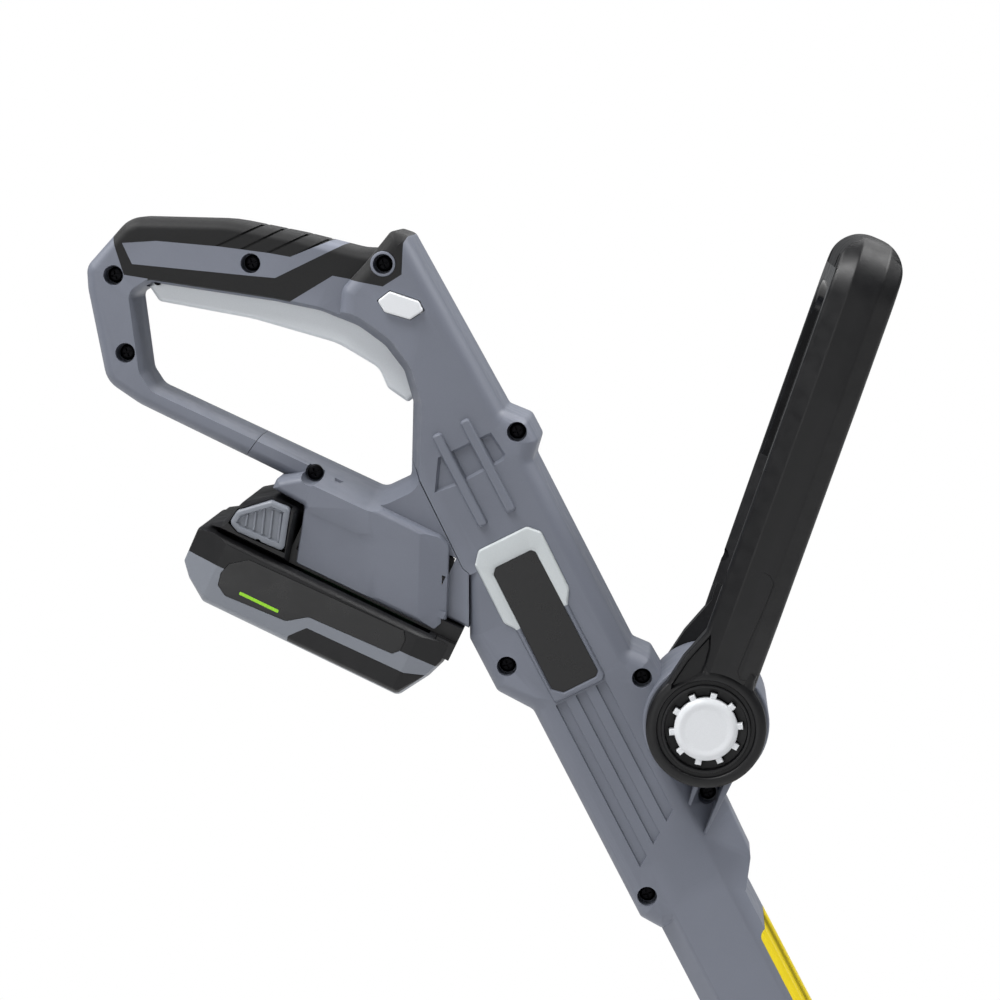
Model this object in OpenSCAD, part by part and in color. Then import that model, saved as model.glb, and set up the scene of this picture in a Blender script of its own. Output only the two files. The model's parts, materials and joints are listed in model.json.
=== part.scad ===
// Cordless string trimmer, 20 V class, in its working pose.
// Origin: spool axis at the underside of the bump button. +Z up, +X forward, away from the user.

/* [Shaft] */
// Angle of the shaft above the ground
shaft_angle = 62.5; // [60:0.5:65]
// Shaft length from the head pivot to the level of the front handle pivot
shaft_length = 640; // [600:5:700]
// Outer diameter of the telescoping tube
tube_d = 24; // [22:0.5:25]
// Wall of the telescoping tube
tube_wall = 1.2; // [1:0.1:2]
// Wall of the fixed sleeve around the telescoping tube
sleeve_wall = 1.5; // [1:0.1:2]
// How far the tube slides out
tube_travel = 140; // [80:5:150]

/* [Main housing] */
// Width of the barrel of the housing across the parting plane
barrel_depth = 52; // [50:0.5:54]
// Width of the rear grip across the parting plane
grip_depth = 36; // [34:0.5:38]
// Width of the battery dock across the parting plane
dock_depth = 68; // [67:0.5:72]
// Wall of the moulded shells
wall = 2.5; // [2:0.1:3]
// Diameter of the screw recesses
screw_recess_d = 8.4; // [8:0.1:9]
// Thickness of the soft cover on the grip
cover_t = 1.6; // [1.2:0.1:2]
// Height of the raised ribs on the barrel
rib_h = 2.2; // [1:0.1:3]
// Depth of the long grooves in the barrel
groove_depth = 1.2; // [0.6:0.1:1.6]
// Gap along the joint of housing and dock
seam = 0.25; // [0.1:0.05:0.4]
// Length of the lower, eight-sided part of the housing below the front handle pivot
lower_length = 200; // [180:5:220]

/* [Trigger and lock-off] */
// Width of the trigger
trigger_w = 22; // [18:0.5:23]
// Swing of the trigger
trigger_swing = 4.5; // [3:0.5:5]
// Travel of each lock-off button
lock_travel = 2.2; // [1.5:0.1:2.4]
// Height of each lock-off button above the housing
lock_proud = 2.5; // [2.4:0.1:3.5]

/* [Battery] */
// Slope of the battery below the horizontal
battery_slope = 25.5; // [25:0.1:26]
// Width of the battery pack
battery_w = 78; // [76:0.5:80]
// Diameter of one cell
cell_d = 18.2; // [17:0.1:18.6]
// Travel of each battery latch
latch_travel = 2.5; // [1.5:0.1:2.8]

/* [Front handle] */
// Lean of the front handle from the vertical
handle_lean = 18.9; // [10:0.1:25]
// Reach from the pivot to the top of the loop
handle_reach = 213.5; // [190:0.5:230]
// Width over the loop at its grip
loop_w = 100; // [94:1:110]
// Thickness of the loop from rear to front
loop_d = 27; // [25:0.5:28]
// Width of each arm of the loop
arm_w = 14.5; // [13:0.5:16]
// Diameter of the hubs at the pivot
hub_d = 50; // [48:0.5:52]
// Thickness of each hub
hub_t = 11.6; // [11:0.1:13]
// Diameter over the teeth of the adjusting button
button_d = 30.6; // [29:0.1:31]
// Number of teeth on the adjusting button
button_teeth = 10; // [8:1:12]
// Travel of the adjusting button
button_travel = 4.2; // [3:0.1:4.4]

/* [Cutting head] */
// Distance from the spool axis back to the head pivot
pivot_back = 58; // [57:0.5:62]
// Height of the head pivot
pivot_height = 104; // [100:1:108]
// Greatest radius of the motor housing
motor_r = 43; // [42:0.5:45]
// Radius of the spool driver
driver_r = 41; // [38:0.5:42]
// Cutting radius of the line
cutting_r = 125; // [120:1:130]
// Radius of the bump button
bump_r = 17; // [15:0.5:19]
// Travel of the bump button
bump_travel = 4; // [3:0.5:4.5]
// Diameter of the edge guide wire
wire_d = 3.2; // [2.6:0.1:4]

/* [Fits] */
// Radial clearance of a turning or sliding fit
running = 0.06; // [0.03:0.01:0.1]
// Clearance beside a moving piece
free = 0.4; // [0.3:0.05:0.5]

/* [Hidden] */
$fn = 64;
black = [0.11, 0.11, 0.12];
slate = [0.42, 0.44, 0.48];
pale = [0.80, 0.82, 0.83];
steel = [0.72, 0.73, 0.75];
brass = [0.80, 0.65, 0.30];

// Half widths across the parting plane
barrel_y = barrel_depth / 2;
grip_y = grip_depth / 2;
dock_y = dock_depth / 2;
battery_y = battery_w / 2;
// Front handle pivot: its reach in front of the shaft axis, and its place
handle_offset = 38;
pivot_x = -pivot_back - shaft_length * cos(shaft_angle) + handle_offset * sin(shaft_angle);
pivot_z = pivot_height + shaft_length * sin(shaft_angle) + handle_offset * cos(shaft_angle);

// Places the children in the frame of the upper body, which has its origin at the front handle pivot
module upper() { translate([pivot_x, 0, pivot_z]) children(); }
// Local z runs up the shaft from the head pivot, and local x to the front of the shaft
module shaft() { translate([-pivot_back, 0, pivot_height]) rotate([0, shaft_angle - 90, 0]) children(); }
// The same, measured from the level of the front handle pivot
module upper_shaft() { shaft() translate([0, 0, shaft_length]) children(); }
// Local x runs down along the battery, and local z away from it
module bay() { upper() rotate([0, battery_slope, 0]) children(); }
// Local z runs up the front handle, and local x to its front
module loop() { upper() rotate([0, handle_lean, 0]) children(); }
// Turns a drawing of the side view upright, extruded towards the right side of the tool
module side() { rotate([90, 0, 0]) children(); }
// Turns a drawing of the front view upright, extruded forwards
module front() { rotate([90, 0, 90]) children(); }
module flipped() { mirror([0, 1, 0]) children(); }
// Cylinder along y from one place to another
module cross_pin(r, y0, y1) { translate([0, y1, 0]) side() cylinder(r = r, h = y1 - y0); }

// Lofted mouldings: an outline of [x, y, corner radius] drawn in by steps towards the outer face
function unit(v) = v / norm(v);
function turned(v, a) = [v[0] * cos(a) - v[1] * sin(a), v[0] * sin(a) + v[1] * cos(a)];
function heading(a, b) = unit([b[0] - a[0], b[1] - a[1]]);
function bend(u, v) = acos(max(-1, min(1, u * v)));
function before(pts, i) = pts[(i + len(pts) - 1) % len(pts)];
function after(pts, i) = pts[(i + 1) % len(pts)];
function cross2(u, v) = u[0] * v[1] - u[1] * v[0];
function moved_in(pts, d) = [for (i = [0 : len(pts) - 1])
    let (b = pts[i], u = heading(before(pts, i), b), v = heading(b, after(pts, i)),
         p = [-u[1], u[0]], q = [-v[1], v[0]], m = (p + q) / (1 + p * q))
    [b[0] + m[0] * d, b[1] + m[1] * d, b[2] == 0 ? 0 : max(0.2, b[2] - d * sign(cross2(u, v)))]];
function corner(a, b, c, steps) =
    let (u = heading(a, b), v = heading(b, c), turn = bend(u, v), s = sign(cross2(u, v)),
         p = [-u[1], u[0]] * s, o = [b[0], b[1]] - u * b[2] * tan(turn / 2) + p * b[2])
    [for (k = [0 : steps]) o - turned(p, s * turn * k / steps) * b[2]];
function rounded(pts, plan, fine = 30) = [for (i = [0 : len(pts) - 1])
    let (b = pts[i], turn = bend(heading(before(plan, i), plan[i]), heading(plan[i], after(plan, i))))
    each (plan[i][2] == 0 ? [[b[0], b[1]]]
        : corner(before(pts, i), b, after(pts, i), max(1, ceil(turn / fine))))];

// Triangles of a flat cap, cut off ear by ear
function left_of(a, b, c) = cross2([b[0] - a[0], b[1] - a[1]], [c[0] - a[0], c[1] - a[1]]);
function holds(a, b, c, p) = left_of(a, b, p) > -0.0001 && left_of(b, c, p) > -0.0001
    && left_of(c, a, p) > -0.0001;
function is_ear(pts, ids, k) = let (i = before(ids, k), j = ids[k], l = after(ids, k))
    left_of(pts[i], pts[j], pts[l]) > 0.0001
    && len([for (q = ids) if (q != i && q != j && q != l && holds(pts[i], pts[j], pts[l], pts[q])) q]) == 0;
function first_ear(pts, ids, k = 0) = k >= len(ids) - 1 || is_ear(pts, ids, k) ? k
    : first_ear(pts, ids, k + 1);
function ears(pts, ids) = len(ids) == 3 ? [ids] : let (k = first_ear(pts, ids))
    concat([[before(ids, k), ids[k], after(ids, k)]],
           ears(pts, [for (q = [0 : len(ids) - 1]) if (q != k) ids[q]]));

// Solid through the outline at each layer of [height, inset]
module moulding(outline, layers, grow = 0, fine = 30) {
    rings = [for (l = layers) rounded(moved_in(outline, l[1] - grow), outline, fine)];
    n = len(rings[0]);
    top = len(layers) - 1;
    ids = [for (i = [0 : n - 1]) i];
    points = [for (k = [0 : top]) for (p = rings[k]) [p[0], p[1], layers[k][0]]];
    sides = [for (k = [0 : top - 1]) for (i = ids) let (a = k * n + i, b = k * n + (i + 1) % n)
        each [[a, a + n, b + n], [a, b + n, b]]];
    lid = [for (t = ears(rings[top], ids)) [t[2], t[1], t[0]] + [1, 1, 1] * top * n];
    polyhedron(points, concat(ears(rings[0], ids), lid, sides));
}

// Outlines in the side view
// Barrel, in the frame of the shaft at the level of the front handle pivot
barrel = [[-19.3, -71, 2], [19.6, -73, 2], [27.8, -62, 4], [28.6, -40, 20], [29.6, 22, 5], [29, 34.5, 3],
    [23.6, 41, 3], [24, 131, 3], [29.8, 137, 3], [29.8, 147, 4], [23, 155, 3], [20.8, 238, 4], [16, 243, 3],
    [0, 236, 8], [-14, 231, 6], [-34, 200, 0], [-21.3, 156, 0], [-23, 101, 6], [-34.5, 77.5, 4],
    [-34.5, 51, 4], [-24.7, 37, 4], [-25, -62.5, 3]];
// Grip, rear post and lower bar, in the frame of the upper body
ring = [[-98.3, 106.6, 0], [-133, 173.2, 0], [-128, 197, 0], [-145, 197.3, 20], [-170, 203.5, 50],
    [-200, 209.5, 60], [-243, 210.5, 12], [-262, 189.5, 7], [-261.5, 180, 10], [-254, 141, 12],
    [-240, 131.5, 14], [-196, 110.3, 0], [-150, 88, 0]];
// Space for the hand inside the grip
hand_gap = [[-232.5, 139.3, 6], [-137.2, 95.2, 6], [-125, 101, 4], [-124.2, 133, 3], [-128, 146, 8],
    [-136, 156.5, 10], [-147, 164.5, 15], [-163, 170.8, 20], [-182, 174.6, 0], [-234, 182.3, 2],
    [-240.8, 178, 3], [-236.8, 146, 6]];
// Dock, in the frame of the battery
dock = [[-184, -14, 2], [-118.9, -14, 2], [-116.6, -7.6, 2], [-128.8, 21, 4], [-134, 23.1, 4],
    [-184, 23.1, 0], [-188, 27.5, 3], [-206, 15, 2], [-206, 10.2, 1], [-190.8, 9.6, 1]];
// Lower face of the dock between its raised plate and the main housing
dock_base = [[-140, -7.6, 0], [-104, -7.6, 2], [-95, 10, 0], [-130, 60, 0], [-160, 40, 0], [-186, 20, 0],
    [-150, 0, 0]];
// What belongs to the dock and not to the main housing, in the frame of the upper body
dock_side = [[-203.6, 97.3], [-300, 40], [-300, -60], [-99.2, -60], [-99.2, 62.2], [-101.9, 64.4],
    [-124.9, 111], [-140, 112], [-181.8, 127.7]];
// Trigger, in the frame of the upper body
trigger_line = [[-236, 181.5, 1.5], [-231.5, 174.8, 3], [-192, 167.6, 40], [-156, 157.4, 30],
    [-138.5, 147, 8], [-134.8, 138.5, 4], [-126.3, 132.6, 1.5], [-121.8, 136, 1.5], [-124, 150, 6],
    [-133, 160.5, 8], [-146, 168.5, 10], [-165, 176, 20], [-184, 180.5, 10], [-229, 188, 3]];
trigger_pivot = [-231.5, 183.2];
// Lock-off button
lock_line = [[-137.1, 176.2], [-134.2, 171.5], [-123.6, 168.4], [-118, 172.1], [-120, 176], [-132.1, 180.1]];
lock_centre = [-127.6, 174.2];

function barrel_steps(y) = [[0, 0], [y - 7, 0], [y - 2.7, 1.2], [y - 0.5, 3.6], [y, 6.5]];
function grip_steps(y) = [[0, 0], [y - 9, 0], [y - 3.5, 1], [y - 0.7, 3], [y, 5]];
function dock_steps(y) = [[0, 0], [y - 8, 0], [y - 2.5, 1.1], [y, 3]];
gap_steps = [[-1, 0], [8, 0], [14, -0.8], [18, -2.5], [27, -5.5], [dock_y + 2, -8]];

module barrel_form() { upper_shaft() side() moulding(barrel, barrel_steps(barrel_y)); }
module ring_form() { upper() side() moulding(ring, grip_steps(grip_y)); }
module dock_form() {
    bay() side() moulding(dock, dock_steps(dock_y));
    bay() side() moulding(dock_base, barrel_steps(barrel_y));
}
module hand_form(grow = 0) { upper() side() moulding(hand_gap, gap_steps, grow); }
module dock_zone(gap = 0) {
    upper() side() translate([0, 0, -1]) linear_extrude(dock_y + 3) offset(delta = -gap) polygon(dock_side);
}

// Lower part of the housing: half its section, then its length
lower_w = 39;
lower_chamfer = 8;
module lower_form(d = 0, from = -lower_length, to = -45) {
    w = lower_w / 2 - d;
    y = barrel_y - d;
    c = lower_chamfer - d * 0.586;
    upper_shaft() translate([0, 0, from]) linear_extrude(to - from)
        polygon([[w, sign(d)], [-w, sign(d)], [-w, c - y], [c - w, -y], [w, -y]]);
}
// Long bevel along the front edge of the housing, from the handle down to the end
bevel_from = 13.7;
module front_bevel(grow = 0) {
    upper_shaft() translate([0, 0, -lower_length - 1 - grow])
        linear_extrude(lower_length - 3 + 2 * grow) offset(delta = grow)
            polygon([[bevel_from, -barrel_y], [bevel_from, -barrel_y - 9], [52, -barrel_y - 9],
                [52, 52 - bevel_from - barrel_y]]);
}

// Screws: place in the side view, and the depth of the head below the face
screw_places = [[-249.4, 186.1], [-244.8, 153.5], [-191.4, 191.2], [-135, 191.3],
    on_upper([23.8, 144.6]), [-164.8, 103.6], on_upper([-25.4, 59]), on_upper([22.8, 28.9]),
    on_upper([24.2, -29.1]), on_upper([-17.9, -55])];
screw_face = [grip_y, grip_y, grip_y, barrel_y, barrel_y, grip_y + 6, barrel_y, barrel_y, barrel_y - 8,
    barrel_y];
screw_sunk = 8;
screw_r = 1.6;
boss_r = screw_recess_d / 2 + 1.6;
function on_upper(p) = [(p[0] - handle_offset) * sin(shaft_angle) - p[1] * cos(shaft_angle),
    (p[0] - handle_offset) * cos(shaft_angle) + p[1] * sin(shaft_angle)];
module at_screws(which) {
    upper() for (i = which) translate([screw_places[i][0], 0, screw_places[i][1]])
        let ($face = screw_face[i]) children();
}
module screw_bosses(which) { at_screws(which) cross_pin(boss_r, -$face + 1, 0); }
module screw_recesses(which) {
    at_screws(which) {
        cross_pin(screw_recess_d / 2, -60, screw_sunk - $face);
        cross_pin(screw_r + 0.15, -60, 1);
    }
}
module screw_holes(which) { at_screws(which) cross_pin(screw_r + 0.05, -10, 1); }
housing_set = [0, 1, 2, 3, 4, 6, 7, 8, 9];
dock_set = [5];

function hollow_steps(from, y, round) = [[-1, wall], [from, wall], [y - wall, wall + round]];
// Hollow of the main housing, with its ribs and the ring around the hand left standing
module housing_hollow() {
    difference() {
        union() {
            upper_shaft() side() moulding(barrel, hollow_steps(barrel_y - 7, barrel_y, 4), 0, 45);
            upper() side() moulding(ring, hollow_steps(grip_y - 8, grip_y, 3), 0, 45);
            lower_form(wall, -lower_length + wall, -45);
        }
        hand_form(wall);
        front_bevel(wall);
        screw_bosses(housing_set);
        tube_ribs();
        upper() cross_pin(boss_disc_r, -barrel_y, 1);
        dock_wall();
    }
}
rib_t = 3;
module tube_ribs() {
    upper_shaft() for (z = [127, 59, 40, -12, -66, -110, -150, rib_t - lower_length])
        translate([-40, -40, z - rib_t]) cube([80, 41, rib_t]);
}
// Wall of the main housing along the dock
module dock_wall() {
    upper() side() translate([0, 0, -1]) linear_extrude(60) difference() {
        offset(delta = wall) polygon(dock_side);
        polygon(dock_side);
    }
}

// Front handle boss on the housing
boss_disc_r = hub_d / 2 + 1.5;
boss_face = barrel_y + 3;
socket_r = 12;
socket_depth = 5.5;
stem_r = 6;
spring_end = 10;

sleeve_r = tube_d / 2 + running + sleeve_wall;
module trigger_path() {
    for (a = [0 : 1.5 : trigger_swing + 0.1]) {
        translate(trigger_pivot) rotate(a) translate(-trigger_pivot)
            offset(delta = 0.5) polygon([for (p = trigger_line) [p[0], p[1]]]);
    }
}

// One half of the main housing, on the right side
module housing_half() {
    difference() {
        union() {
            difference() {
                union() {
                    barrel_form();
                    lower_form();
                    ring_form();
                }
                front_bevel();
                dock_zone();
                hand_form();
                housing_hollow();
            }
            upper() cross_pin(boss_disc_r, -boss_face, 0);
            gussets();
            barrel_ribs();
            lock_shelf();
            inner_posts();
        }
        screw_recesses(housing_set);
        grip_cover_space();
        upper() side() translate([0, 0, -1]) linear_extrude(trigger_w / 2 + 1 + free) trigger_path();
        upper() side() translate([0, 0, 11]) linear_extrude(60)
            offset(delta = free - 0.05) polygon(lock_line);
        upper_shaft() translate([0, 0, -lower_length - 1])
            cylinder(r = sleeve_r + 0.05, h = lower_length + 47);
        upper() {
            cross_pin(socket_r + running, -60, socket_depth - boss_face);
            cross_pin(stem_r + 0.6, -60, -spring_end);
            translate([trigger_pivot[0], 0, trigger_pivot[1]]) cross_pin(1.55, -grip_y + 4, 1);
        }
        barrel_windows();
    }
}
module housing_right() {
    color(slate) difference() {
        housing_half();
        barrel_grooves();
        bezel_seat();
    }
}
module housing_left() {
    color(slate) flipped() difference() {
        housing_half();
        barrel_grooves();
    }
}

// Seat of the lock-off spring: a shelf from the side wall with a tab
module lock_shelf() {
    upper() translate([lock_centre[0] - 6, -barrel_y + wall / 2, 183.5]) cube([12, barrel_y - wall / 2, 2]);
    upper() translate([lock_centre[0] - 4.5, -9, 170]) cube([9, 2, 14]);
}
// Raised ribs and sunk windows beside the dock
rib_w = 3;
rib_span = [116.5, 159];
module barrel_ribs() {
    upper_shaft() for (x = [-6.5, 6.7]) translate([x, 0, 0]) side() linear_extrude(barrel_y + rib_h) hull() {
        translate([0, rib_span[0] + rib_w / 2]) circle(d = rib_w);
        translate([0, rib_span[1] - rib_w / 2]) circle(d = rib_w);
    }
}
window_depth = 1.6;
module barrel_windows() {
    windows = [[[-10, 150], [-8.3, 150], [-8.3, 136], [-18.4, 138]],
        [[-4.8, 149.5], [5, 149.5], [5, 136.5], [-4.8, 136.5]],
        [[8.4, 149.5], [14, 149.5], [15.2, 138], [8.4, 136.5]]];
    upper_shaft() side() translate([0, 0, barrel_y - window_depth]) linear_extrude(5)
        for (w = windows) polygon(w);
}
// Three long grooves from the label down, with slanted ends
groove_w = 4.9;
groove_left = [4, -5.4, -14.8];
groove_top = 35;
module barrel_grooves() {
    upper_shaft() side() translate([0, 0, barrel_y - groove_depth]) linear_extrude(5)
        for (i = [0 : 2]) let (x = groove_left[i], z = -27 - 6.2 * i)
            polygon([[x, groove_top], [x + groove_w, groove_top], [x + groove_w, z], [x, z - 3.2]]);
}
// Two gussets from the handle boss down over the front bevel
module gussets() {
    upper() side() translate([0, 0, 6]) linear_extrude(barrel_y - 7.5) {
        polygon([[14, -20], [0.2, -48.6], [-0.6, -47.2], [10.2, -20]]);
        polygon([[-0.5, -22], [-6, -36], [-7.4, -35], [-3.8, -22]]);
    }
}

// Black soft cover on the grip
cover_zone = [[-249.8, 201.8], [-266, 216], [-118, 226], [-118, 203], [-124.6, 203.4], [-126.6, 199.9],
    [-127.2, 187], [-135.1, 182], [-156.9, 186.1], [-177, 174], [-181, 168], [-238, 177], [-234.8, 184.7],
    [-244.9, 186.3]];
inset_zone = [[-245.5, 199.6], [-241.4, 190.8], [-188.3, 185.7], [-181.1, 185.1], [-151.6, 199.4],
    [-158.3, 200.6],
    [-174.7, 193.9], [-183.5, 195.5], [-204.6, 198.2], [-231.1, 200.5]];
module cover_area() {
    upper() side() translate([0, 0, -1]) linear_extrude(barrel_y + 2) difference() {
        polygon(cover_zone);
        polygon(inset_zone);
    }
}
function skinned(steps) = [for (s = steps) [s[0] == 0 ? -1 : s[0], min(6.5, s[1] + cover_t)]];
module cover_core() {
    upper_shaft() side() moulding(barrel, skinned(barrel_steps(barrel_y - cover_t)));
    upper() side() moulding(ring, skinned(grip_steps(grip_y - cover_t)));
}
module cover_skin() {
    difference() {
        intersection() {
            union() {
                barrel_form();
                ring_form();
            }
            cover_area();
        }
        cover_core();
    }
}
module grip_cover_space() { cover_skin(); }
module grip_cover_half() {
    color(black) difference() {
        cover_skin();
        hand_form();
        screw_recesses([2, 3, 0]);
        upper() side() translate([0, 0, -1]) linear_extrude(trigger_w / 2 + 1 + free) trigger_path();
    }
}
module grip_cover_right() { grip_cover_half(); }
module grip_cover_left() { flipped() grip_cover_half(); }

// Label bezel and its plate on the right side
bezel_line = [[-17.6, 103], [-13.3, 108], [9.4, 107.7], [13.7, 103], [13.2, 76.5], [9.6, 71], [9.6, 37.4],
    [8, 35.6], [-14.5, 36], [-14.8, 71.5], [-18, 75.7]];
plate_line = [[-12, 95.5], [-9.6, 98.2], [6.2, 98.2], [7.7, 96], [7.7, 40], [5.6, 38.4], [-9.4, 38.6],
    [-12, 41.6]];
bezel_t = 2.2;
bezel_proud = 1.2;
plate_t = 0.5;
module bezel_seat() {
    upper_shaft() side() translate([0, 0, barrel_y - bezel_t + bezel_proud])
        linear_extrude(9) polygon(bezel_line);
}
module label_bezel() {
    color(pale) upper_shaft() side() difference() {
        translate([0, 0, barrel_y - bezel_t + bezel_proud]) linear_extrude(bezel_t) polygon(bezel_line);
        translate([0, 0, barrel_y + bezel_proud - plate_t])
            linear_extrude(5) offset(delta = 0.15) polygon(plate_line);
    }
}
module rating_plate() {
    color(black) upper_shaft() side() translate([0, 0, barrel_y + bezel_proud - plate_t])
        linear_extrude(plate_t) polygon(plate_line);
}
module housing_screws() {
    color(steel) at_screws([for (i = [0 : 9]) i]) {
        cross_pin(3.4, screw_sunk - $face - 2.2, screw_sunk - $face);
        cross_pin(screw_r, screw_sunk - $face, 6);
    }
}

// Inside the upper body
// Posts that hold the switch, and ribs that hold the spring of the trigger and the control board
switch_at = [-222, 191];
module inner_posts() {
    upper() translate([switch_at[0] + 6, -grip_y + 1, switch_at[1] + 1]) cube([9, grip_y - 7.5, 6]);
    upper() translate([-176, -grip_y + 1, 191.8]) cube([12, grip_y - 1, 2]);
}
module power_switch() {
    color(black) upper() translate([switch_at[0], -6.4, switch_at[1]]) cube([22, 12.8, 11]);
    color(pale) upper() translate([switch_at[0] + 13, -2, switch_at[1] - 4.4]) cube([4, 4, 4.5]);
}
module control_board() {
    color([0.1, 0.35, 0.2]) upper_shaft() translate([-1, -17, 59]) cube([1.6, 34, 65]);
    color(black) upper_shaft() for (z = [66, 84, 102]) translate([0.6, -8, z]) cube([6, 14, 11]);
    color(steel) upper_shaft() translate([-9, -12, 68]) cube([8, 24, 44]);
}
module outer_tube() {
    color(steel) upper_shaft() translate([0, 0, -lower_length - 32]) difference() {
        cylinder(r = sleeve_r, h = lower_length + 76);
        translate([0, 0, -1]) cylinder(r = tube_d / 2 + running, h = lower_length + 78);
    }
}
collet_out = 16.6;
module tube_collet() {
    color(black) upper_shaft() translate([0, 0, -lower_length - 43]) difference() {
        cylinder(r1 = collet_out - 2, r2 = collet_out, h = 11);
        translate([0, 0, -1]) cylinder(r = tube_d / 2 + 0.35, h = 13);
        for (a = [0 : 45 : 135]) rotate(a) translate([-30, -0.8, -1]) cube([60, 1.6, 8]);
    }
}
collar_r = 22;
module tube_lock_collar() {
    color(black) upper_shaft() translate([0, 0, -lower_length - 47]) difference() {
        union() {
            translate([0, 0, 2]) cylinder(r = collar_r - 1.2, h = 39.5);
            translate([0, 0, 41.5]) cylinder(r1 = collar_r - 1.2, r2 = collar_r - 3.5, h = 2);
            cylinder(r1 = collar_r - 3.5, r2 = collar_r - 1.2, h = 2);
            for (a = [0 : 30 : 330]) rotate(a) translate([collar_r - 4, -2.6, 4]) cube([4, 5.2, 35]);
        }
        translate([0, 0, -1]) cylinder(r = tube_d / 2 + 0.5, h = 5);
        translate([0, 0, 2.5]) cylinder(r = collet_out + 0.4, h = 13);
        translate([0, 0, 15]) cylinder(r = sleeve_r + running, h = 30);
    }
}
module lower_tube() {
    color(steel) shaft() translate([0, 0, 40]) difference() {
        cylinder(r = tube_d / 2, h = shaft_length - 60);
        translate([0, 0, -1]) cylinder(r = tube_d / 2 - tube_wall, h = shaft_length - 58);
    }
}

// Spring wire of round coils along z, with its lowest point at 0
module coil(r, wire, length, turns) {
    per = 9;
    n = turns * per;
    k4 = [0 : 3];
    points = [for (k = [0 : n]) for (b = k4) let (a = 360 * k / per,
        q = r + wire / 2 * sin(90 * b), z = wire / 2 + (length - wire) * k / n + wire / 2 * cos(90 * b))
        [q * cos(a), q * sin(a), z]];
    sides = [for (k = [0 : n - 1]) for (b = k4) let (i = k * 4 + b, j = k * 4 + (b + 1) % 4)
        each [[i, i + 4, j + 4], [i, j + 4, j]]];
    m = n * 4;
    polyhedron(points, concat([[0, 1, 2], [0, 2, 3]], sides, [[m + 2, m + 1, m], [m + 3, m + 2, m]]));
}
// The same along y, from y0 towards the right side of the tool
module cross_coil(r, wire, y0, y1, turns) { translate([0, y0, 0]) side() coil(r, wire, y0 - y1, turns); }

// Trigger and lock-off
module trigger_half() {
    difference() {
        upper() side() moulding(trigger_line, [[0, 0], [trigger_w / 2 - 2.4, 0], [trigger_w / 2 - 0.7, 0.7],
            [trigger_w / 2, 2]], 0, 40);
        at_trigger_pin() cross_pin(1.5 + running, -grip_y, 1);
    }
}
module at_trigger_pin() { upper() translate([trigger_pivot[0], 0, trigger_pivot[1]]) children(); }
module trigger() {
    color(pale) union() {
        trigger_half();
        flipped() trigger_half();
    }
}
module trigger_pin() {
    color(steel) at_trigger_pin() cross_pin(1.5, -13.6, 13.6);
}
module trigger_spring() {
    color(steel) upper() translate([-170, 0, 184.2]) coil(3.2, 0.8, 7.6, 4);
}
module lock_button() {
    y = barrel_y + lock_proud;
    color(pale) difference() {
        union() {
            upper() side() moulding([for (p = lock_line) [p[0], p[1], 1.2]],
                [[16.2, 0], [y - 0.8, 0], [y, 0.8]], 0, 60);
            upper() translate([lock_centre[0], 0, lock_centre[1]]) cross_pin(2, -17, -12.5);
        }
    }
}
module lock_button_right() { lock_button(); }
module lock_button_left() { flipped() lock_button(); }
module lock_off_spring() {
    upper() translate([lock_centre[0], 0, lock_centre[1]]) cross_coil(3.4, 0.8, -9, -13.6, 3);
}
module lock_off_springs() {
    color(steel) lock_off_spring();
    color(steel) flipped() lock_off_spring();
}

// Battery dock
rail_w = [-8, -5];
module dock_hollow() {
    bay() translate([-300, -31, -60]) cube([175.4, 32, 68.6]);
    bay() translate([-130, -23.5, -60]) cube([12.5, 24.5, 68.6]);
    bay() translate([-178, -28, 11]) cube([54, 29, 6]);
    bay() translate([-130, -31, -60]) cube([30, 32, 52.1]);
}
module dock_half() {
    difference() {
        union() {
            difference() {
                intersection() {
                    union() {
                        dock_form();
                        ring_form();
                    }
                    dock_zone(seam);
                }
                hand_form();
                dock_hollow();
            }
            bay() translate([-184, -31.5, rail_w[0]]) cube([66, 3.5, rail_w[1] - rail_w[0]]);
        }
        screw_recesses(dock_set);
        bay() translate([-119, -24, -4]) cube([5.6, 25, 10]);
    }
}
module battery_dock_right() { color(slate) dock_half(); }
module battery_dock_left() { color(slate) flipped() dock_half(); }
blade_y = [-18, -9, 0, 9, 18];
module dock_terminals() {
    color(black) bay() translate([-117.4, -23.9, -3.9]) cube([3.9, 47.8, 9.8]);
    color(brass) bay() for (y = blade_y) translate([-131.5, y - 0.4, -2]) cube([14.5, 0.8, 6]);
}

// Battery pack
tower_y = 30.6;
tower_top = 8;
groove_y = 27.6;
cell_pitch = 19.2;
cell_w = -28;
case_line = [[-212, -45.3, 4], [-121, -45.3, 4], [-113, -32, 3], [-110, -24, 3], [-109.5, -14.6, 1],
    [-219, -14.6, 1], [-226.8, -17, 3], [-226.4, -33, 2], [-221.5, -38.7, 2]];
block_line = [[-224, -14.6, 0], [-186.2, -14.6, 0], [-191.6, 8, 2], [-203, 8.6, 3], [-214.5, 0, 3],
    [-218.4, -11, 2]];
panel_line = [[-208.5, -34.9], [-204, -37.6], [-176.5, -36.1], [-168.7, -30.4], [-130.8, -29],
    [-128.2, -26.3], [-128.3, -21.2], [-130.2, -18.1], [-200.8, -19.5], [-208, -24.8], [-209.5, -29.7]];
bumper_line = [[-167.5, -35], [-173, -41.4], [-172.4, -46], [-118, -46], [-111, -34], [-113, -31.2],
    [-123, -34.3]];
bumper_t = 2.4;
label_t = 0.6;
latch_line = [[-215.4, -9.4, 0], [-210.8, -11.4, 0], [-202.1, -11.1, 0], [-189.7, -10.5, 0],
    [-194.9, 7.2, 0], [-203.4, 6.9, 0], [-214.6, -3.2, 0]];
module both() {
    children();
    flipped() children();
}
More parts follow.
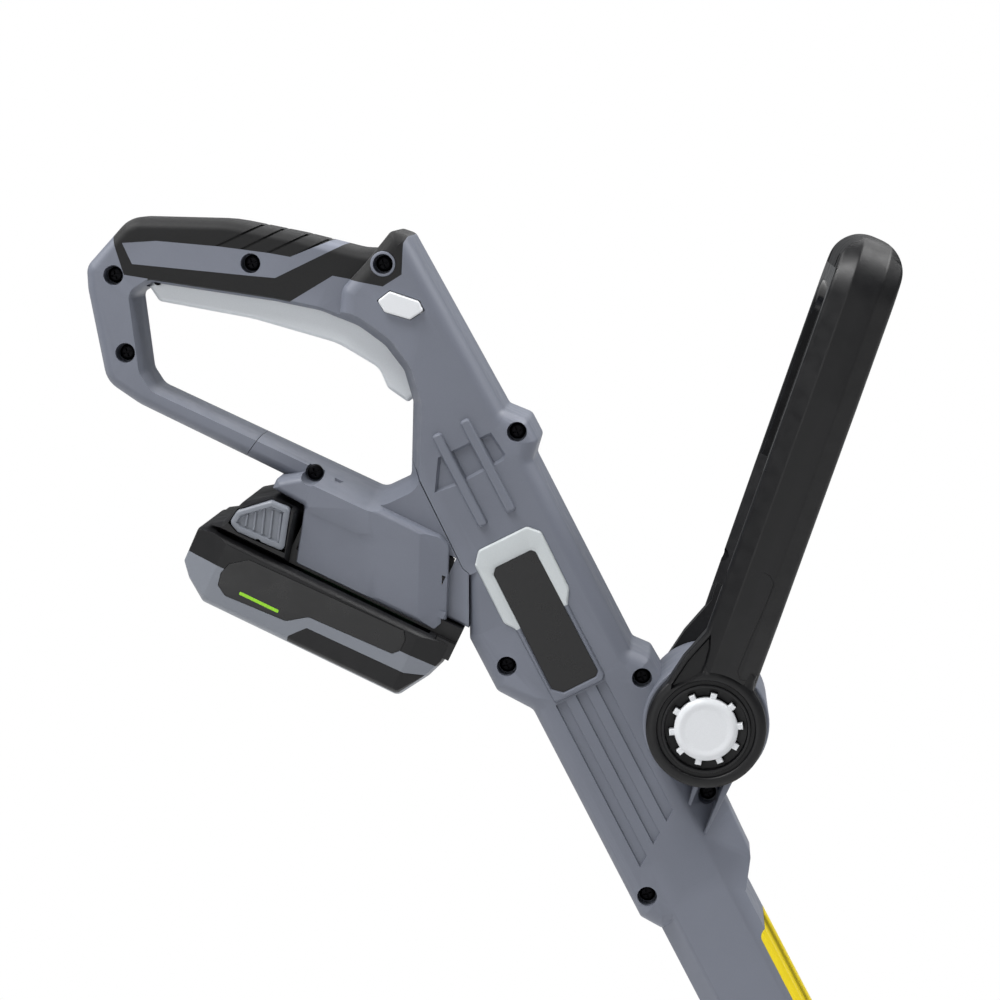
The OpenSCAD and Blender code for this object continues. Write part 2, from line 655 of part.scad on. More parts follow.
module bumper_half() {
    intersection() {
        bay() side() moulding(case_line, [[0, 0], [30, 0], [37, 1.5], [battery_y, 3.5]]);
        bay() side() translate([0, 0, 20]) linear_extrude(30) polygon(bumper_line);
    }
}
module battery_case_half() {
    difference() {
        bay() side() moulding(case_line, [[0, 0], [30, 0], [37, 1.5], [battery_y, 3.5]]);
        bay() translate([-218.5, -34.5, -37.2]) cube([98, 35, 30]);
        bay() side() translate([0, 0, battery_y - bumper_t]) linear_extrude(9) polygon(bumper_line);
        bay() side() translate([0, 0, battery_y - label_t]) linear_extrude(9) polygon(panel_line);
        bay() translate([-117.2, -36.2, -22.2]) cube([20, 37, 20]);
    }
}
module battery_case() {
    color(slate) battery_case_half();
    color(slate) flipped() battery_case_half();
}
module battery_bumper() {
    color(black) both() intersection() {
        bay() side() moulding(case_line, [[0, 0], [30, 0], [37, 1.5], [battery_y, 3.5]]);
        bay() side() translate([0, 0, battery_y - bumper_t]) linear_extrude(9) polygon(bumper_line);
    }
}
module battery_labels() {
    color(black) both() bay() side() translate([0, 0, battery_y - label_t])
        linear_extrude(label_t) polygon(panel_line);
}
module latch_shape(d) { polygon([for (p = moved_in(latch_line, -d)) [p[0], p[1]]]); }
module latch_form(from, to, d) {
    bay() side() translate([0, 0, from]) linear_extrude(to - from) latch_shape(d);
}
module battery_frame_half() {
    difference() {
        union() {
            bay() translate([-188, -tower_y, -14.6]) cube([63, tower_y, tower_top + 14.6]);
            bay() translate([-188, -23, -14.6]) cube([70, 23, tower_top + 14.6]);
            difference() {
                bay() side() moulding(block_line, [[0, 0], [30, 0], [35, 0.8], [battery_y - 2, 1.8]]);
                latch_form(20, 50, free);
            }
            bay() translate([-126, -tower_y, -14.6]) cube([17.6, tower_y, 6.2]);
            bay() translate([-117, -36, -22]) cube([8.6, 36, 7.2]);
            bay() translate([-117, -tower_y, -22]) cube([8.6, tower_y, 13.6]);
        }
        bay() translate([-186, -tower_y - 20, rail_w[0] - 0.3])
            cube([90, 20 + tower_y - groove_y, rail_w[1] - rail_w[0] + 0.6]);
        bay() translate([-186, -26, -30]) cube([62, 27, 34.5]);
        bay() for (y = blade_y) translate([-134, y - 1.4, -3]) cube([20, 2.8, 8]);
        bay() for (k = [0 : 8]) translate([-109.4, -34 + 4 * k, -20]) cube([2, 1.6, 9]);
    }
}
module battery_frame() {
    color(black) both() battery_frame_half();
}
module battery_cells() {
    color([0.25, 0.45, 0.65]) bay() for (k = [-2 : 2])
        translate([-169.5 + cell_pitch * k, 0, cell_w]) cross_pin(cell_d / 2, -32.5, 32.5);
}
module cell_holders() {
    color(black) both() bay() difference() {
        translate([-218.2, -34.3, -37.1]) cube([97.4, 14, 21.1]);
        for (k = [-2 : 2]) translate([-169.5 + cell_pitch * k, 0, cell_w])
            cross_pin(cell_d / 2 + 0.05, -32.6, 0);
    }
}
module battery_board() {
    color([0.1, 0.35, 0.2]) bay() translate([-180, -24, -16]) cube([52, 48, 1.6]);
}
module battery_contacts() {
    color(brass) bay() for (y = blade_y) for (s = [-1, 1]) {
        translate([-133.8, y + s * 0.95 - 0.25, -2.5]) cube([5, 0.5, 6.5]);
        translate([-133.8, y + s * 0.95 - 0.25, -14.4]) cube([3, 0.5, 12]);
    }
}
module latch() {
    color(slate) difference() {
        union() {
            latch_form(29, 37.2, 0);
            bay() side() translate([0, 0, 37.1]) linear_extrude(0.9) latch_shape(-0.8);
        }
        difference() {
            bay() side() translate([0, 0, 36]) linear_extrude(9) latch_shape(-2.6);
            bay() side() linear_extrude(37.4)
                for (k = [0 : 4]) translate([-209.5 + 4.2 * k, -12]) square([1.6, 22]);
        }
    }
}
module latch_right() { latch(); }
module latch_left() { flipped() latch(); }
module latch_springs() {
    color(steel) both() bay() translate([-202, 0, -3]) cross_coil(3.4, 0.8, -20, -26, 3);
}

// Front handle
hub_y = boss_face + 0.5;
hub_top = hub_y + hub_t;
hub_r = hub_d / 2;
half_w = loop_w / 2;
in_w = half_w - arm_w;
top_in = handle_reach - 28;
loop_line = [[hub_y + 0.4, -12, 2], [hub_top - 0.6, -12, 2], [hub_top - 0.6, 14, 12], [half_w - 4.8, 50, 40],
    [half_w, 145, 60], [half_w, handle_reach, 26], [-half_w, handle_reach, 26], [-half_w, 145, 60],
    [4.8 - half_w, 50, 40], [0.6 - hub_top, 14, 12], [0.6 - hub_top, -12, 2], [-hub_y - 0.4, -12, 2],
    [-hub_y - 0.4, 24, 30], [-in_w, 145, 60], [-in_w, top_in, 13], [in_w, top_in, 13], [in_w, 145, 60],
    [hub_y + 0.4, 24, 30]];
// Side view of the front handle, with its round top
module loop_side(d) {
    r = loop_d / 2 - d;
    side() translate([0, 0, -70]) linear_extrude(140) union() {
        translate([-r, -20]) square([2 * r, handle_reach + 20 - loop_d / 2]);
        translate([0, handle_reach - loop_d / 2]) circle(r = r);
    }
}
module loop_form(grow = 0) {
    loop() intersection() {
        front() moulding(loop_line, grow == 0
            ? [[0, 0], [loop_d / 2 - 7.5, 0], [loop_d / 2 - 0.8, 3.5], [loop_d / 2, 4.2]]
            : [[-1, wall], [loop_d / 2 - 7.5, wall], [loop_d / 2 - wall, wall + 1.6]]);
        loop_side(grow == 0 ? 0 : wall);
    }
}
handle_screw_places = [[37.9, 62], [-37.9, 62], [30, handle_reach - 14], [-30, handle_reach - 14]];
module at_handle_screws() {
    loop() for (p = handle_screw_places) translate([0, p[0], p[1]]) rotate([0, 90, 0]) children();
}
module loop_half() {
    difference() {
        loop_form();
        difference() {
            loop_form(1);
            loop() translate([-50, -60, -30]) cube([100, 120, 66]);
            at_handle_screws() translate([0, 0, -20]) cylinder(r = 4.2, h = 40);
        }
    }
}
module hub_side() {
    difference() {
        union() {
            cross_pin(hub_r, -hub_top + 2, -hub_y);
            translate([0, 2 - hub_top, 0]) side() cylinder(r1 = hub_r, r2 = hub_r - 3.3, h = 2);
        }
        cross_pin(socket_r + running, -60, 0);
        cross_pin(13.6, -60, -hub_y - 3.1);
        cross_pin(16.2, -60, 1.4 - hub_top);
        side() translate([0, 0, hub_y + 3.1]) linear_extrude(20) intersection() {
            circle(r = button_d / 2 + 0.4);
            for (k = [0 : button_teeth - 1])
                rotate(24.4 + 360 * k / button_teeth) translate([0, -1.7]) square([20, 3.4]);
        }
    }
}
// Web from the rear edge of each arm down to the rim of its hub
web_line = [[-12.6, 38], [-14.2, 32], [-23.9, 17.6], [-24.6, 4], [0, 4], [0, 50], [-11.4, 50]];
module web() {
    side() translate([0, 0, hub_y + 0.4]) linear_extrude(hub_t - 2.2) polygon(web_line);
    side() translate([0, 0, hub_y + 0.3]) linear_extrude(hub_t - 1) offset(delta = -1.2) polygon(web_line);
}
module handle_front_shell() {
    color(black) difference() {
        loop_half();
        loop() cross_pin(hub_r + 0.05, -60, 60);
        at_handle_screws() translate([0, 0, -1]) cylinder(r = screw_r + 0.05, h = 9);
    }
}
module handle_rear_shell() {
    color(black) difference() {
        union() {
            difference() {
                loop() mirror([1, 0, 0]) loop_inverse() loop_half();
                loop() cross_pin(hub_r - 1, -60, 60);
            }
            loop() both() difference() {
                web();
                cross_pin(hub_r - 1, -60, 0);
            }
            loop() both() hub_side();
        }
        at_handle_screws() {
            translate([0, 0, -30]) cylinder(r = 3.6, h = 21);
            translate([0, 0, -30]) cylinder(r = screw_r + 0.15, h = 31);
        }
    }
}
module loop_inverse() {
    rotate([0, -handle_lean, 0]) translate([-pivot_x, 0, -pivot_z]) children();
}
module handle_screws() {
    color(steel) at_handle_screws() {
        translate([0, 0, -11.4]) cylinder(r = 3.2, h = 2.4);
        translate([0, 0, -9]) cylinder(r = screw_r, h = 16);
    }
}
core_end = boss_face - 0.8;
teeth_from = hub_y + 3.1 + button_travel + 0.2;
stem_end = 20;
module adjust_button() {
    color(pale) loop() difference() {
        union() {
            cross_pin(socket_r, -teeth_from - 0.1, -core_end);
            cross_pin(stem_r, -core_end - 1, -stem_end);
            cross_pin(13.2, -hub_top + 0.6, -teeth_from);
            translate([0, 0.6 - hub_top, 0]) side() cylinder(r1 = 13.2, r2 = 11.2, h = 1.6);
            side() translate([0, 0, teeth_from]) linear_extrude(hub_top - 0.3 - teeth_from) intersection() {
                circle(r = button_d / 2);
                for (k = [0 : button_teeth - 1])
                    rotate(24.4 + 360 * k / button_teeth) translate([0, -1.3]) square([20, 2.6]);
            }
        }
    }
}
module adjust_button_right() { adjust_button(); }
module adjust_button_left() { flipped() adjust_button(); }
module handle_springs() {
    color(steel) both() upper() cross_coil(4.6, 1, -spring_end, -15.4, 3);
}

// Cutting head
fork_r = 16;
lug_y = 12.6;
module head_fork() {
    color(black) shaft() difference() {
        union() {
            translate([0, 0, 22]) cylinder(r = 16.5, h = 46);
            both() translate([0, -13, 0]) side() linear_extrude(6.5) hull() {
                circle(r = fork_r);
                translate([-15, 26]) square([30, 8]);
            }
            translate([-15, -19.5, 20]) cube([30, 39, 16]);
        }
        translate([0, 0, 38]) cylinder(r = tube_d / 2 + 0.02, h = 60);
        cross_pin(3.02, -40, 40);
    }
}
module pivot_bolt() {
    color(steel) shaft() {
        cross_pin(3, -20.5, 20.5);
        cross_pin(6, -22.5, -19.6);
        translate([0, 23, 0]) side() cylinder(r = 5.8, h = 3.4, $fn = 6);
    }
}
motor_line = [[0, 38], [motor_r - 3, 38], [motor_r, 41.5], [motor_r, 62], [motor_r - 4, 82],
    [motor_r - 9, 104], [motor_r - 17, 117], [motor_r - 30, 122], [0, 123]];
module motor_half() {
    difference() {
        union() {
            difference() {
                rotate_extrude() polygon(motor_line);
                difference() {
                    translate([0, 0, 0.01]) rotate_extrude() intersection() {
                        offset(delta = -wall) polygon(motor_line);
                        square([100, 200]);
                    }
                    cylinder(r = 60, h = 44.4);
                    for (z = [60, 92]) translate([0, 0, z]) cylinder(r = 60, h = 3);
                }
                cylinder(r = 13, h = 60);
                translate([0, 0, 44.4]) cylinder(r = 22.1, h = 58);
            }
            side() linear_extrude(lug_y) hull() {
                translate([-pivot_back, pivot_height]) circle(r = 14.5);
                translate([8 - motor_r, 78]) square([3, 24]);
            }
            translate([0, 0, 52]) cross_pin(5, -46, -38);
        }
        translate([-100, 0, -1]) cube([200, 100, 200]);
        shaft() cross_pin(3 + running, -40, 40);
        translate([0, 0, 52]) cross_pin(wire_d / 2 + running, -60, -39);
        for (k = [0 : 3]) for (a = [-48, -90, -132])
            rotate(a) translate([28, -7, 66 + 6 * k]) cube([30, 14, 2.6]);
        for (a = [40, 90, 140]) rotate(a + 180) translate([34, 0, 30]) cylinder(r = 1.65, h = 13);
    }
}
module motor_housing_right() { color(black) motor_half(); }
module motor_housing_left() { color(black) flipped() motor_half(); }
module motor_can() {
    color(steel) difference() {
        translate([0, 0, 44.4]) cylinder(r = 22, h = 58);
        translate([0, 0, 48.4]) cylinder(r = 19.6, h = 50);
        translate([0, 0, 40]) cylinder(r = 8, h = 70);
    }
}
module motor_bearings() {
    color(steel) for (z = [44.4, 98.4]) translate([0, 0, z]) difference() {
        cylinder(r = 8, h = 4);
        translate([0, 0, -1]) cylinder(r = 4 + running, h = 6);
    }
}
module rotor() {
    color(steel) translate([0, 0, 17]) cylinder(r = 4, h = 85);
    color([0.45, 0.3, 0.2]) translate([0, 0, 56]) cylinder(r = 17, h = 36);
}
plate_z = 29.5;
module spool_driver() {
    color(black) difference() {
        union() {
            translate([0, 0, 10.2]) cylinder(r = driver_r, h = 19.8);
            translate([0, 0, 30]) cylinder(r1 = driver_r, r2 = driver_r - 2, h = 2);
        }
        translate([0, 0, 10]) cylinder(r = driver_r - 2.6, h = plate_z - 10);
        translate([0, 0, 20]) cylinder(r = 4.02, h = 20);
        for (a = [0, 180]) rotate(a) translate([driver_r - 6, 0, 19.5]) rotate([0, 90, 0])
            cylinder(r = 3.4, h = 9);
        for (k = [0 : 5]) rotate(30 + 60 * k) translate([24, -4, 28]) cube([9, 8, 9]);
    }
    color(black) translate([0, 0, 22.8]) difference() {
        cylinder(r = 8.4, h = 7);
        translate([0, 0, -1]) cylinder(r = 4.02, h = 10);
    }
}
module line_eyelets() {
    color(steel) for (a = [0, 180]) rotate(a) translate([driver_r - 3.4, 0, 19.5])
        rotate([0, 90, 0]) difference() {
        union() {
            cylinder(r = 3.38, h = 4);
            translate([0, 0, 3.4]) cylinder(r = 4.4, h = 1.4);
        }
        translate([0, 0, -1]) cylinder(r = 1.7, h = 9);
    }
}
module spool_cover() {
    color(black) difference() {
        union() {
            translate([0, 0, 7]) cylinder(r1 = driver_r - 3, r2 = driver_r, h = 3.2);
            translate([0, 0, 10]) cylinder(r = driver_r - 2.66, h = 4);
        }
        translate([0, 0, 9.8]) cylinder(r = driver_r - 4.6, h = 9);
        cylinder(r = bump_r + free, h = 20);
    }
}
module bump_button() {
    color(black) difference() {
        union() {
            cylinder(r1 = bump_r - 5, r2 = bump_r, h = 4);
            translate([0, 0, 4]) cylinder(r = bump_r, h = 7);
            translate([0, 0, 10.1]) cylinder(r = bump_r + 3.4, h = 2.2);
        }
        translate([0, 0, 3]) cylinder(r = bump_r - 2.4, h = 20);
    }
}
module line_spool() {
    color(pale) difference() {
        union() {
            translate([0, 0, 12.3]) cylinder(r = 34, h = 1.8);
            translate([0, 0, 12.3]) cylinder(r = 15.4, h = 12.2);
            translate([0, 0, 22.9]) cylinder(r = 34, h = 1.6);
        }
        translate([0, 0, 10]) cylinder(r = 6, h = 20);
        translate([0, 0, 17.8]) cylinder(r = 13.2, h = 20);
    }
}
module line_winding() {
    color([0.55, 0.75, 0.2]) rotate_extrude() {
        translate([15.4, 14.1]) square([13.4, 8.8]);
        for (k = [0 : 3]) translate([28.6, 15.2 + 2.2 * k]) circle(d = 2.2);
    }
}
spool_spring_top = plate_z;
module bump_spring() {
    color(steel) translate([0, 0, 17.8]) coil(10.8, 1.1, spool_spring_top - 17.8, 4);
}
guard_r = 150;
guard_half = 100;
module rear_sector(r) {
    a = guard_half;
    polygon([[0, 0], [r * cos(180 - a), r * sin(180 - a)], [-r * 0.3, r * 1.6], [-r * 1.8, r * 1.6],
        [-r * 1.8, -r * 1.6], [-r * 0.3, -r * 1.6], [r * cos(180 - a), -r * sin(180 - a)]]);
}
module guard() {
    color(black) difference() {
        union() {
            intersection() {
                difference() {
                    union() {
                        translate([0, 0, 14]) cylinder(r = guard_r, h = 22);
                        translate([0, 0, 36]) cylinder(r1 = guard_r, r2 = guard_r - 2, h = 2);
                    }
                    translate([0, 0, 13]) cylinder(r = guard_r - 2.5, h = 22.6);
                }
                linear_extrude(60) rear_sector(2 * guard_r);
            }
            translate([0, 0, 35.6]) cylinder(r = 44, h = 2.4);
            for (a = [-60, -30, 0, 30, 60]) rotate(180 + a) translate([46, -1.2, 32]) cube([101, 2.4, 4]);
        }
        cylinder(r = 14, h = 60);
        for (a = [40, 90, 140, 220, 270, 320]) rotate(a) translate([34, 0, 30]) cylinder(r = 1.8, h = 13);
    }
}
module guard_screws() {
    color(steel) for (a = [40, 90, 140, 220, 270, 320]) rotate(a) translate([34, 0, 0]) {
        translate([0, 0, 33.6]) cylinder(r = 3.2, h = 2);
        translate([0, 0, 35.5]) cylinder(r = 1.6, h = 7);
    }
}
module line_cutter() {
    color(steel) rotate(-93) translate([cutting_r - 1, -1.2, 0]) {
        translate([0, 0, 17]) cube([guard_r - cutting_r - 1.6, 1.2, 18.6]);
        translate([guard_r - cutting_r - 13, 0, 33.4]) cube([11, 9, 2.2]);
    }
}
guide_side = [[0, 48.6, 52], [0.6, 50.4, 51.8], [3, 51.4, 50.9], [40, 59, 41], [66, 64, 34.4], [84, 67, 30],
    [96, 66.4, 27.6], [108, 61.6, 25.6], [118, 53, 24.2], [126, 41, 23.4], [131, 26, 23], [133, 9, 23]];
// Round wire along a path that never stands upright
module wire_along(path, r) {
    n = len(path);
    points = [for (i = [0 : n - 1]) let (d = unit(path[min(i + 1, n - 1)] - path[max(i - 1, 0)]),
        a = unit(cross(d, [0, 0, 1])), b = cross(d, a))
        for (k = [0 : 7]) path[i] + r * (a * cos(45 * k + 22.5) + b * sin(45 * k + 22.5))];
    sides = [for (i = [0 : n - 2]) for (k = [0 : 7]) let (p = i * 8 + k, q = i * 8 + (k + 1) % 8)
        each [[p, p + 8, q + 8], [p, q + 8, q]]];
    m = n * 8 - 8;
    start = [for (k = [1 : 6]) [0, k, k + 1]];
    polyhedron(points, concat(start, sides, [for (k = [1 : 6]) [m, m + k + 1, m + k]]));
}
module edge_guide() {
    last = len(guide_side) - 1;
    other = [for (i = [last : -1 : 0]) let (p = guide_side[i]) [p[0], -p[1], p[2]]];
    path = concat(guide_side, other);
    color(steel) {
        wire_along(path, wire_d / 2 * 1.02);
        both() translate([0, 0, 52]) cross_pin(wire_d / 2, 39.2, 49.2);
    }
}

housing_right();
housing_left();
battery_dock_right();
battery_dock_left();
grip_cover_right();
grip_cover_left();
label_bezel();
rating_plate();
housing_screws();
power_switch();
control_board();
dock_terminals();
outer_tube();
tube_collet();
trigger();
trigger_pin();
trigger_spring();
lock_button_right();
lock_button_left();
lock_off_springs();
battery_case();
battery_frame();
battery_bumper();
battery_labels();
battery_cells();
cell_holders();
battery_board();
battery_contacts();
latch_right();
latch_left();
latch_springs();
handle_front_shell();
handle_rear_shell();
handle_screws();
adjust_button_right();
adjust_button_left();
handle_springs();
tube_lock_collar();
lower_tube();
head_fork();
pivot_bolt();
motor_housing_right();
motor_housing_left();
motor_can();
motor_bearings();
rotor();
spool_driver();
line_spool();
line_winding();
line_eyelets();
spool_cover();
bump_button();
bump_spring();
guard();
guard_screws();
line_cutter();
edge_guide();
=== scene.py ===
import math

import bmesh
import bpy
from mathutils import Matrix, Vector
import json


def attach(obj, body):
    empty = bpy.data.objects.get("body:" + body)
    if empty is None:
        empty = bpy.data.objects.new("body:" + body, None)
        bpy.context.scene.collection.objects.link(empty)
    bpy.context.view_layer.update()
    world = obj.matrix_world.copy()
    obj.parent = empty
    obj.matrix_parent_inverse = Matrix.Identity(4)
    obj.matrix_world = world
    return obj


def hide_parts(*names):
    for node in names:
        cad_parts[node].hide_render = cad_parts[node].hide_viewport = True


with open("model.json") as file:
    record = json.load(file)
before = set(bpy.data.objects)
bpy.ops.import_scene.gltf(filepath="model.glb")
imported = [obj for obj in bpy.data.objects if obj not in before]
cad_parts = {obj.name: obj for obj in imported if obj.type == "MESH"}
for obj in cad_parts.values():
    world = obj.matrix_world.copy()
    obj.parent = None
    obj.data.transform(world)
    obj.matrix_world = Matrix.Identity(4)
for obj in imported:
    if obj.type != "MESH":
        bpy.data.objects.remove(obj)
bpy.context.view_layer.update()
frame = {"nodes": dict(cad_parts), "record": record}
nodes = frame["nodes"]
mm = 0.001

# the same driving sizes as the construction, in millimetres and degrees
tool = {
    "shaftAngle": 62.5, "shaftLength": 640.0, "pivotBack": 58.0, "pivotHeight": 104.0,
    "handleOffset": 38.0, "batterySlope": 25.5, "handleLean": 18.9,
}


def pivotPlace():
    a = math.radians(tool["shaftAngle"])
    x = -tool["pivotBack"] - tool["shaftLength"] * math.cos(a) + tool["handleOffset"] * math.sin(a)
    z = tool["pivotHeight"] + tool["shaftLength"] * math.sin(a) + tool["handleOffset"] * math.cos(a)
    return Vector((x, 0, z)) * mm


def turnedAboutY(degrees):
    return Matrix.Rotation(math.radians(degrees), 4, "Y")


pivot = pivotPlace()
atPivot = Matrix.Translation(pivot)
atHead = Matrix.Translation(Vector((-tool["pivotBack"], 0, tool["pivotHeight"])) * mm)
upShaft = Matrix.Translation((0, 0, tool["shaftLength"] * mm))
alongShaft = atHead @ turnedAboutY(tool["shaftAngle"] - 90) @ upShaft
alongBattery = atPivot @ turnedAboutY(tool["batterySlope"])
alongHandle = atPivot @ turnedAboutY(tool["handleLean"])


def sceneObject(name, data):
    obj = bpy.data.objects.new(name, data)
    bpy.context.scene.collection.objects.link(obj)
    return obj


# ---- camera, light and floor

view = {"azimuth": 3.6, "elevation": 6.4, "distance": 1.3, "lens": 110.0, "centre": (-87.97, 0, 90.36)}
look = {"room": 0.2, "floor": 0.93, "floorRough": 0.8, "whiteFrom": 0.5, "whiteTo": 1.3}

# place from the middle of the view, size and power
lamps = {
    "keyLamp": ((-0.75, -0.75, 1.75), (1.3, 0.8), 34.0),
    "fillLamp": ((-0.7, -2.0, 0.3), (1.2, 1.2), 8.0),
    "leftLamp": ((-1.25, 0.05, 1.5), (1.2, 1.0), 24.0),
    "rightLamp": ((1.25, 0.1, 1.6), (1.2, 1.0), 40.0),
    "rimLamp": ((0.5, 1.3, 1.4), (1.4, 0.8), 8.0),
}


def aimed(obj, place, way):
    obj.location = place
    obj.rotation_mode = "QUATERNION"
    obj.rotation_quaternion = way.to_track_quat("-Z", "Y")


def makeCamera(target):
    az, el = math.radians(view["azimuth"]), math.radians(view["elevation"])
    back = Vector((math.sin(az) * math.cos(el), -math.cos(az) * math.cos(el), math.sin(el)))
    data = bpy.data.cameras.new("photoView")
    data.lens = view["lens"]
    data.sensor_width = 36.0
    data.clip_end = 30
    camera = sceneObject("photoView", data)
    aimed(camera, target + back * view["distance"], -back)
    bpy.context.scene.camera = camera


def areaLamp(name, place, target, size, power):
    data = bpy.data.lights.new(name, "AREA")
    data.shape = "RECTANGLE"
    data.size, data.size_y = size
    data.energy = power
    aimed(sceneObject(name, data), place, target - place)


def addNode(tree, kind, values=()):
    made = tree.nodes.new("ShaderNode" + kind)
    for socket, value in dict(values).items():
        made.inputs[socket].default_value = value
    return made


def wire(tree, *pairs):
    for source, socket in pairs:
        tree.links.new(source, socket)


def computed(tree, how, first, second):
    step = addNode(tree, "Math")
    step.operation = how
    wire(tree, (first, step.inputs[0]), (second, step.inputs[1]))
    return step.outputs[0]


def mixedInto(tree, factor, first, second, target):
    mix = addNode(tree, "MixShader")
    wire(tree, (factor, mix.inputs[0]), (first, mix.inputs[1]), (second, mix.inputs[2]))
    wire(tree, (mix.outputs[0], target))


def whiteWorld():
    world = bpy.data.worlds.new("studio")
    bpy.context.scene.world = world
    world.use_nodes = True
    tree = world.node_tree
    tree.nodes.clear()
    out = addNode(tree, "OutputWorld")
    room = addNode(tree, "Background", {"Color": (0.95, 0.97, 1.0, 1), "Strength": look["room"]})
    white = addNode(tree, "Background", {"Color": (1, 1, 1, 1), "Strength": 1.0})
    ray = addNode(tree, "LightPath")
    mixedInto(tree, ray.outputs["Is Camera Ray"], room.outputs[0], white.outputs[0], out.inputs[0])


def paleFloor():
    mesh = bpy.data.meshes.new("floor")
    mesh.from_pydata([(-6, -6, 0), (6, -6, 0), (6, 6, 0), (-6, 6, 0)], [], [(0, 1, 2, 3)])
    floor = sceneObject("floor", mesh)
    skin = bpy.data.materials.new("paleFloor")
    skin.use_nodes = True
    tree = skin.node_tree
    shader = tree.nodes["Principled BSDF"]
    shader.inputs["Base Color"].default_value = (look["floor"], look["floor"], look["floor"], 1)
    shader.inputs["Roughness"].default_value = look["floorRough"]
    backdrop = addNode(tree, "Emission")
    ray = addNode(tree, "LightPath")
    place = addNode(tree, "TexCoord")
    reach = addNode(tree, "VectorMath")
    reach.operation = "LENGTH"
    wire(tree, (place.outputs["Object"], reach.inputs[0]))
    far = between(tree, reach.outputs["Value"], 0, 1, look["whiteFrom"], look["whiteTo"])
    seen = computed(tree, "MAXIMUM", ray.outputs["Is Camera Ray"], ray.outputs["Is Glossy Ray"])
    seenToo = computed(tree, "MAXIMUM", seen, ray.outputs["Is Transmission Ray"])
    white = computed(tree, "MULTIPLY", far, seenToo)
    surface = tree.nodes["Material Output"].inputs["Surface"]
    mixedInto(tree, white, shader.outputs[0], backdrop.outputs[0], surface)
    mesh.materials.append(skin)


def buildStudio():
    target = pivot + Vector(view["centre"]) * mm
    makeCamera(target)
    for name, (offset, size, power) in lamps.items():
        areaLamp(name, target + Vector(offset), target, size, power)
    whiteWorld()
    paleFloor()
    bpy.context.scene.view_settings.view_transform = "Standard"


# ---- finishes

finishes = {}


def linear(rgb):
    out = []
    for c in rgb:
        c = c / 255
        out.append(c / 12.92 if c <= 0.04045 else ((c + 0.055) / 1.055) ** 2.4)
    return out


def startFinish(name, gloss=0.5):
    skin = bpy.data.materials.new(name)
    skin.use_nodes = True
    tree = skin.node_tree
    shader = tree.nodes["Principled BSDF"]
    shader.inputs["Specular IOR Level"].default_value = gloss
    finishes[name] = skin
    return tree, shader, addNode(tree, "TexCoord").outputs["Object"]


def stretchedOver(tree, place, kind, scale, values=()):
    fit = addNode(tree, "Mapping", {"Scale": scale})
    pattern = addNode(tree, kind, values)
    wire(tree, (place, fit.inputs["Vector"]), (fit.outputs["Vector"], pattern.inputs["Vector"]))
    return pattern


def noiseAt(tree, place, size, detail=3.0, stretch=(1, 1, 1)):
    scale = [s / (size * mm) for s in stretch]
    return stretchedOver(tree, place, "TexNoise", scale, {"Scale": 1.0, "Detail": detail}).outputs["Fac"]


def between(tree, source, low, high, start=0.3, end=0.7):
    span = addNode(tree, "MapRange", {"From Min": start, "From Max": end, "To Min": low, "To Max": high})
    wire(tree, (source, span.inputs["Value"]))
    return span.outputs["Result"]


def blended(tree, factor, first, second):
    mix = addNode(tree, "Mix")
    mix.data_type = "RGBA"
    wire(tree, (factor, mix.inputs["Factor"]))
    for socket, value in ((mix.inputs["A"], first), (mix.inputs["B"], second)):
        if isinstance(value, (list, tuple)):
            socket.default_value = (*value[:3], 1)
        else:
            wire(tree, (value, socket))
    return mix.outputs["Result"]


def bumpFrom(tree, shader, height, depth):
    bump = addNode(tree, "Bump", {"Distance": depth * mm, "Strength": 1.0})
    wire(tree, (height, bump.inputs["Height"]), (bump.outputs["Normal"], shader.inputs["Normal"]))


def mouldedPlastic(name, rgb, rough, grain, depth, mottle, wear, gloss=0.45):
    tree, shader, place = startFinish(name, gloss)
    base = linear(rgb)
    broad = noiseAt(tree, place, 55, 2)
    fine = noiseAt(tree, place, grain, 2)
    dust = noiseAt(tree, place, 6, 4)
    dark = [c * (1 - mottle) for c in base]
    light = [min(1, c * (1 + mottle)) for c in base]
    pale = [min(1, c * 1.25 + 0.004) for c in base]
    tone = blended(tree, between(tree, broad, 0, 1), dark, light)
    speck = blended(tree, between(tree, fine, 0, 0.25), tone, pale)
    edge = addNode(tree, "NewGeometry")
    rub = between(tree, edge.outputs["Pointiness"], 0, wear, 0.53, 0.62)
    worn = blended(tree, rub, speck, [min(1, c * 1.5 + 0.03) for c in base])
    wire(tree, (worn, shader.inputs["Base Color"]),
         (between(tree, dust, rough - 0.06, rough + 0.08), shader.inputs["Roughness"]))
    bumpFrom(tree, shader, fine, depth)


def softRubber(name, rgb, rough=0.62):
    tree, shader, place = startFinish(name, 0.35)
    base = linear(rgb)
    fine = noiseAt(tree, place, 0.22, 2)
    broad = between(tree, noiseAt(tree, place, 35, 3), 0, 1)
    tone = blended(tree, broad, [c * 0.88 for c in base], [c * 1.2 for c in base])
    wire(tree, (tone, shader.inputs["Base Color"]),
         (between(tree, fine, rough - 0.08, rough + 0.12), shader.inputs["Roughness"]))
    shader.inputs["Sheen Weight"].default_value = 0.12
    shader.inputs["Sheen Roughness"].default_value = 0.4
    bumpFrom(tree, shader, fine, 0.03)


def drawnMetal(name, rgb, rough, along, depth):
    tree, shader, place = startFinish(name)
    base = linear(rgb)
    lines = noiseAt(tree, place, 0.35, 3, along)
    patch = between(tree, noiseAt(tree, place, 22, 3), 0, 1)
    tone = blended(tree, patch, [c * 0.86 for c in base], base)
    wire(tree, (tone, shader.inputs["Base Color"]),
         (between(tree, lines, rough - 0.07, rough + 0.12), shader.inputs["Roughness"]))
    shader.inputs["Metallic"].default_value = 1.0
    bumpFrom(tree, shader, lines, depth)


